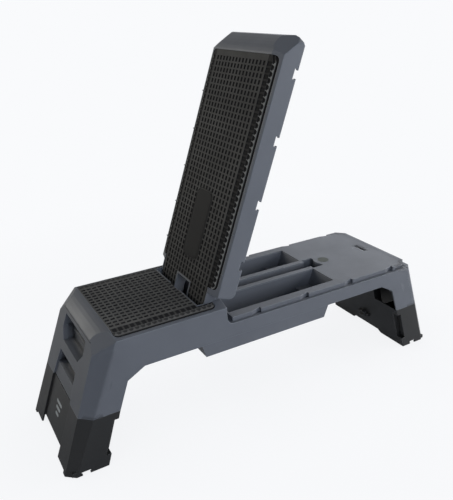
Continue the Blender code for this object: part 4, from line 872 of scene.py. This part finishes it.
@dataclass
class BackPad(StuddedPad):
    """Pad on the backrest, with a tongue that is open in the middle for the fingers.

    The pits are counted from one whose place is well known, the twenty-eighth.
    """

    name: str = "backrest_pad_studded"
    first: float = 0.1784 - 27 * 13.52 * MM
    pitch: float = 13.52 * MM
    count: int = 43
    tongue_front: float = -0.1905
    tongue_inner: float = 0.0365
    tongue_outer: float = 0.1130
    opening_end: float = -0.1395
    front: float = -0.1225
    rear: float = 0.4000

    def corner_ends(self) -> tuple[float, float]:
        """Ends of the pad whose corners are rounded."""
        return self.front, self.rear

    def lines(self) -> tuple[list[float], list[float]]:
        """Grid lines of the tongue, the opening, the main part's ends and its corners."""
        along = [self.tongue_front, self.opening_end, self.front, self.front + self.corner_step]
        along += [self.rear - self.corner_step, self.rear]
        return along, [-self.tongue_outer, -self.tongue_inner, self.tongue_inner, self.tongue_outer]

    def kept(self, x: np.ndarray, y: np.ndarray) -> np.ndarray:
        """Cells of the main part, the bridge behind the opening and the tongue."""
        out = np.abs(y)[None, :]
        main = ((x > self.front) & (x < self.rear))[:, None]
        bridge = ((x > self.opening_end) & (x < self.front))[:, None] & (out < self.tongue_outer)
        tongue = ((x > self.tongue_front) & (x < self.opening_end))[:, None]
        return main | bridge | tongue & (out > self.tongue_inner) & (out < self.tongue_outer)

    def place(self, points: np.ndarray) -> np.ndarray:
        """Raise the pad with the backrest."""
        return raised(points)


@dataclass
class BackPlaque:
    """Plain smooth oval in the backrest's pad, with a narrow step round it."""

    name: str = "backrest_plaque"
    middle: float = -0.0055
    half_length: float = 0.0860
    half_width: float = 0.0370
    corner: float = 0.0200
    steps: int = 12
    tone_depth: float = 1.1 * MM
    rings: tuple[tuple[float, float], ...] = (
        (0.0, -2.6 * MM),
        (0.0, 0.15 * MM),
        (0.9 * MM, 0.25 * MM),
        (1.5 * MM, 0.1 * MM),
        (1.8 * MM, -0.9 * MM),
        (3.1 * MM, -0.9 * MM),
        (3.5 * MM, 0.0),
        (4.4 * MM, 0.2 * MM),
        (14 * MM, 0.25 * MM),
    )

    def outline(self, inset: float) -> np.ndarray:
        """Points of the rounded rectangle, moved in by an amount.

        Each corner is a quarter circle of the corner's radius less the inset.

        Args:
            inset: Distance moved inwards, in metres.

        Returns:
            Points in the plan, counter-clockwise.
        """
        radius = self.corner - inset
        turn = np.linspace(0.0, math.pi / 2, self.steps)
        parts = []
        for quarter, (sx, sy) in enumerate(((1, 1), (-1, 1), (-1, -1), (1, -1))):
            angle = turn + quarter * math.pi / 2
            cx = self.middle + sx * (self.half_length - self.corner)
            cy = sy * (self.half_width - self.corner)
            parts.append(np.stack((cx + radius * np.cos(angle), cy + radius * np.sin(angle)), axis=-1))
        return np.concatenate(parts)

    def build(self) -> bpy.types.Object:
        """Make the oval as rings: a low skirt, a groove, a rounded shoulder and a flat top.

        Each ring is the outline moved in by its first number, at the seat's height plus its
        second.

        Returns:
            The piece.
        """
        count = len(self.outline(0.0))
        points = []
        for inset, rise in self.rings:
            plan = self.outline(inset)
            points.append(np.column_stack((plan, np.full(count, SEAT_TOP + rise))))
        number = np.arange(len(self.rings) * count).reshape(len(self.rings), count)
        after = np.roll(number, -1, axis=1)
        faces = np.stack((number[:-1], after[:-1], after[1:], number[1:]), axis=-1).reshape(-1, 4).tolist()
        faces.append(number[-1].tolist())
        faces.append(number[0][::-1].tolist())
        piece = mesh_piece(self.name, raised(np.concatenate(points)), faces, RUBBER_ANGLE)
        mark_depth(piece, np.full(len(piece.data.vertices), self.tone_depth))
        return piece


@dataclass
class PanelMark:
    """Three short pale bars printed on the near leg's end panel."""

    name: str = "leg_panel_bars"
    middle_down: float = 0.1465
    bar_height: float = 7.0 * MM
    gap: float = 7.0 * MM
    lengths: tuple[float, ...] = (38 * MM, 30 * MM, 22 * MM)
    rise: float = 0.25 * MM
    root: float = 0.3 * MM
    panel_out: float = 0.0595
    end_steps: int = 9

    def build(self) -> bpy.types.Object:
        """Make the bars as thin round-ended plates on the sunk panel.

        Each bar's outline is a half circle at each end, and it is closed underneath.

        Returns:
            The piece.
        """
        start = np.array((LEG_PIVOT[0], 0.0, LEG_PIVOT[1]))
        sideways = np.array((0.0, 1.0, 0.0))
        turn = np.linspace(-math.pi / 2, math.pi / 2, self.end_steps)
        points, faces = [], []
        for row, length in enumerate(self.lengths):
            radius = self.bar_height / 2
            side = length / 2 - radius
            across = np.concatenate((side + radius * np.cos(turn), -side - radius * np.cos(turn)))
            height = np.concatenate((radius * np.sin(turn), -radius * np.sin(turn)))
            down = self.middle_down + (row - 1) * (self.bar_height + self.gap)
            base = start - PANEL_UP * down
            for level in (-self.root, self.rise):
                place = base + PANEL_OUT * (self.panel_out + level)
                points.append(place + PANEL_UP * height[:, None] - sideways * across[:, None])
            count = len(across)
            first = row * 2 * count
            low = np.arange(count) + first
            high = low + count
            walls = np.stack((low, np.roll(low, -1), np.roll(high, -1), high), axis=-1)
            faces += walls.tolist() + [high.tolist(), low[::-1].tolist()]
        return mesh_piece(self.name, np.concatenate(points), faces)


@dataclass
class LedgeWebs:
    """Two three-sided webs that close the ledge's inner corners beside the tray block."""

    name: str = "ledge_corner_webs"
    corner: tuple[float, float] = (0.4475, 0.1410)
    leg: float = 0.0245
    top: float = 0.2604
    bottom: float = 0.2576
    bevel: float = 0.8 * MM

    def build(self) -> bpy.types.Object:
        """Make each web as three rings: a small foot, and a wider waist that runs to the top.

        A ring is a right-angled triangle, whose legs run inwards from the corner. The foot's
        corner moves in by the bevel both ways, and its legs are three bevels shorter, so
        its long side moves in too. The second web is the first with its Y turned over.

        Returns:
            The piece.
        """
        rings = ((self.bevel, self.bottom), (0.0, self.bottom + self.bevel), (0.0, self.top))
        points, faces = [], []
        for side in (1, -1):
            first = len(points) * 3
            for inset, level in rings:
                x, y = self.corner[0] - inset, self.corner[1] - inset
                leg = self.leg - 3 * inset
                ring = np.array(((x, y, level), (x - leg, y, level), (x, y - leg, level)))
                points.append(ring * np.array((1.0, side, 1.0)))
            number = first + np.arange(len(rings) * 3).reshape(len(rings), 3)
            after = np.roll(number, -1, axis=1)
            walls = np.stack((number[:-1], after[:-1], after[1:], number[1:]), axis=-1).reshape(-1, 4)
            caps = [number[-1], number[0][::-1]]
            made = [*walls.tolist(), *(cap.tolist() for cap in caps)]
            faces += made if side == 1 else [face[::-1] for face in made]
        return mesh_piece(self.name, np.concatenate(points), faces)


@dataclass
class Finishes:
    """The materials, made once and shared."""

    made: dict[str, bpy.types.Material] = field(default_factory=dict)

    def build(self) -> None:
        """Make every material."""
        specs = (
            # The third colour of each plastic is its painted edge highlight.
            MouldedPolypropylene("polypropylene_moulded_slate", "#61656c", "#5c6067", "#949aa2"),
            MouldedPolypropylene(
                "polypropylene_moulded_black", "#1b1c1d", "#181919", "#58595a", roughness=0.42, blend=1.5 * MM
            ),
            MouldedRubber("rubber_moulded_charcoal", "#8f8f8b", "#393837", "#060607"),
            # A lighter copy of the same rubber for the seat's pad: painted light, brighter than the
            # backrest's pad.
            MouldedRubber("rubber_moulded_charcoal_painted_lighter", "#9a9a96", "#5f5e5c", "#1d1d1e"),
            MouldedRubber("rubber_moulded_slate_plug", "#666a65", "#646863", "#5f635e"),
            ZincPlatedSteel("steel_zinc_plated", "#b9bcbe"),
            ZincPlatedSteel("steel_zinc_black_passivated", "#3b3d41"),
            PrintedMark("ink_pad_printed_pale", "#c3c8ca"),
        )
        for spec in specs:
            self.made[spec.name] = spec.build()

    def of(self, slot: Slot) -> bpy.types.Material:
        """The material of a record slot."""
        names = {
            Slot.SLATE: "polypropylene_moulded_slate",
            Slot.BLACK: "polypropylene_moulded_black",
            Slot.RUBBER: "rubber_moulded_charcoal",
            Slot.PLUG: "rubber_moulded_slate_plug",
            Slot.STEEL: "steel_zinc_plated",
        }
        return self.made[names[slot]]


@dataclass(frozen=True)
class Lamp:
    """One square softbox.

    Args:
        name: Name of the lamp.
        place: Where it hangs, in metres.
        size: Side of its square, in metres.
        power: Radiant power in watts.
        colour: Tint as an sRGB hex value.
        target: Point that it faces, in metres.
    """

    name: str
    place: tuple[float, float, float]
    size: float
    power: float
    colour: str = "#ffffff"
    target: tuple[float, float, float] = (0.0, 0.0, 0.25)

    def build(self) -> None:
        """Hang the lamp so that it faces its target."""
        data = bpy.data.lights.new(self.name, "AREA")
        data.size = self.size
        data.energy = self.power
        data.color = linear(self.colour)[:3]
        lamp = bpy.data.objects.new(self.name, data)
        lamp.location = self.place
        lamp.rotation_mode = "QUATERNION"
        lamp.rotation_quaternion = (Vector(self.target) - Vector(self.place)).to_track_quat("-Z", "Y")
        bpy.context.scene.collection.objects.link(lamp)


@dataclass
class Studio:
    """Pale floor, soft lamps, white surround and the camera."""

    floor_half: float = 14.0
    paper: str = "#f9fafc"
    fibre_size: float = 0.25
    shade_ends: tuple[float, float] = (1.7, 0.7)
    shade_share: float = 0.03
    shade_reach: float = 0.30
    contact_shade: float = 0.08
    ambient: float = 0.05
    gloss: float = 0.60
    lens: float = 41.53
    sensor: float = 36.0
    clip: tuple[float, float] = (0.05, 60.0)
    place: tuple[float, float, float] = (-0.7085, -1.1585, 0.9479)
    yaw: float = 0.5163
    pitch: float = 0.4057
    roll: float = -0.0261
    lamps: tuple[Lamp, ...] = (
        Lamp("overhead_softbox", (2.2, 0.6, 2.6), 2.0, 13.0, "#fff6ea"),
        Lamp("right_softbox", (3.2, -1.2, 1.2), 1.8, 85.0),
        Lamp("front_softbox", (-0.4, -3.4, 1.6), 1.8, 56.0, "#e9f1ff"),
        Lamp("back_left_softbox", (-2.4, 2.6, 1.4), 1.8, 30.0, "#fffbf1"),
        Lamp("back_right_softbox", (2.8, 2.4, 1.4), 1.8, 15.0, "#e9f1ff"),
    )

    def camera(self) -> None:
        """Make the camera at the photograph's viewing angle."""
        forward = Vector((
            math.sin(self.yaw) * math.cos(self.pitch),
            math.cos(self.yaw) * math.cos(self.pitch),
            -math.sin(self.pitch),
        ))
        right = Vector((math.cos(self.yaw), -math.sin(self.yaw), 0.0))
        up = right.cross(forward)
        across = right * math.cos(self.roll) + up * math.sin(self.roll)
        upright = up * math.cos(self.roll) - right * math.sin(self.roll)
        turn = Matrix((across, upright, -forward)).transposed()
        data = bpy.data.cameras.new("studio_camera")
        data.lens = self.lens
        data.sensor_width = self.sensor
        data.clip_start, data.clip_end = self.clip
        camera = bpy.data.objects.new("studio_camera", data)
        camera.matrix_world = Matrix.Translation(self.place) @ turn.to_4x4()
        bpy.context.scene.collection.objects.link(camera)
        bpy.context.scene.camera = camera

    def floor(self) -> None:
        """Make the floor of white paper, whose own faint glow lifts the shadow.

        Near the object a share of what the camera sees is the lit paper, and the glow is
        darkened where the object shuts out the sky: a painted contact shadow beside the real
        shadow on the lit share. Away from it the paper's plain tone meets the surround unseen.
        """
        corners = np.array(((-1.0, -1.0, 0.0), (1.0, -1.0, 0.0), (1.0, 1.0, 0.0), (-1.0, 1.0, 0.0)))
        floor = mesh_piece("studio_floor", corners * self.floor_half, [[0, 1, 2, 3]])
        material, tree, lit, place = start_material("paper_matt_white_sweep")
        out = tree.nodes["Material Output"]
        fibre = add(
            tree,
            "ShaderNodeTexNoise",
            {"Vector": place, "Scale": 1 / self.fibre_size, "Detail": 2.0},
        ).outputs["Fac"]
        tone = add(tree, "ShaderNodeValToRGB", {"Fac": fibre}, ((0.0, "#f4f5f7"), (1.0, "#f8f9fb")))
        tree.links.new(tone.outputs["Color"], lit.inputs["Base Color"])
        lit.inputs["Roughness"].default_value = 0.9
        lit.inputs["Specular IOR Level"].default_value = 0.0
        away = add(tree, "ShaderNodeVectorMath", {0: place}, operation="LENGTH")
        none, full = self.shade_ends
        near = add(
            tree,
            "ShaderNodeMapRange",
            {"Value": away.outputs["Value"], "From Min": none, "From Max": full, "To Max": self.shade_share},
            interpolation_type="SMOOTHSTEP",
        )
        path = add(tree, "ShaderNodeLightPath")
        direct = add(
            tree,
            "ShaderNodeMath",
            {0: path.outputs["Is Camera Ray"], 1: near.outputs["Result"]},
            operation="SUBTRACT",
        )
        share = add(tree, "ShaderNodeMath", {0: direct.outputs["Value"], 1: 0.0}, operation="MAXIMUM")
        # Painted contact shadow: the paper's glow is darkened where the object shuts out the sky.
        open_sky = add(tree, "ShaderNodeAmbientOcclusion", {"Distance": self.shade_reach}, samples=12)
        painted_shadow_glow = add(
            tree,
            "ShaderNodeMapRange",
            {"Value": open_sky.outputs["AO"], "To Min": 1.0 - self.contact_shade, "To Max": 1.0},
        )
        plain = add(
            tree,
            "ShaderNodeEmission",
            {"Color": linear(self.paper), "Strength": painted_shadow_glow.outputs["Result"]},
        )
        mixed = add(
            tree,
            "ShaderNodeMixShader",
            {0: share.outputs["Value"], 1: lit.outputs["BSDF"], 2: plain.outputs["Emission"]},
        )
        tree.links.new(mixed.outputs["Shader"], out.inputs["Surface"])
        floor.data.materials.append(material)

    def world(self) -> None:
        """Make the surround: dim soft light, brighter in reflections, white to the camera."""
        world = bpy.data.worlds.new("studio_surround")
        bpy.context.scene.world = world
        world.use_nodes = True
        tree = world.node_tree
        back = tree.nodes["Background"]
        path = add(tree, "ShaderNodeLightPath")
        seen = add(
            tree,
            "ShaderNodeMapRange",
            {"Value": path.outputs["Is Camera Ray"], "To Min": self.ambient, "To Max": 1.0},
        )
        strength = add(
            tree,
            "ShaderNodeMath",
            {0: path.outputs["Is Glossy Ray"], 1: self.gloss - self.ambient, 2: seen.outputs["Result"]},
            operation="MULTIPLY_ADD",
        )
        tree.links.new(strength.outputs["Value"], back.inputs["Strength"])
        back.inputs["Color"].default_value = linear(self.paper)

    def build(self) -> None:
        """Set up the whole studio."""
        self.camera()
        self.floor()
        self.world()
        for lamp in self.lamps:
            lamp.build()
        bpy.context.scene.view_settings.view_transform = "Standard"


def dress_cad(finishes: Finishes) -> None:
    """Give every CAD node that still shows its procedural material.

    Args:
        finishes: The shared materials.
    """
    slots = {row["node"]: Slot(row["material_slot"]) for row in frame["record"]["subparts"]}
    for name, node in frame["nodes"].items():
        if node.hide_render:
            continue
        material = finishes.of(slots[name])
        if name in KEEPER_SCREWS:
            material = finishes.made["steel_zinc_black_passivated"]
        for slot in node.material_slots:
            slot.material = material


def main() -> None:
    """Build the pieces in order, dress what is left of the CAD and set the studio."""
    logging.basicConfig(level=logging.INFO, format="%(message)s")
    finishes = Finishes()
    finishes.build()
    rubber = finishes.of(Slot.RUBBER)
    # The seat's pad takes the lighter copy of the rubber, painted lighter than the backrest's.
    seat_lighter_rubber = finishes.made["rubber_moulded_charcoal_painted_lighter"]
    settle(SeatPad().build(), "deck", seat_lighter_rubber, ("seat_pad",))
    settle(BackPad().build(), "backrest", rubber, ("backrest_pad",))
    settle(BackPlaque().build(), "backrest", rubber)
    settle(PanelMark().build(), "near_leg", finishes.made["ink_pad_printed_pale"])
    settle(LedgeWebs().build(), "deck", finishes.of(Slot.SLATE))
    dress_cad(finishes)
    Studio().build()
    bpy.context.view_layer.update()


if __name__ == "__main__":
    main()
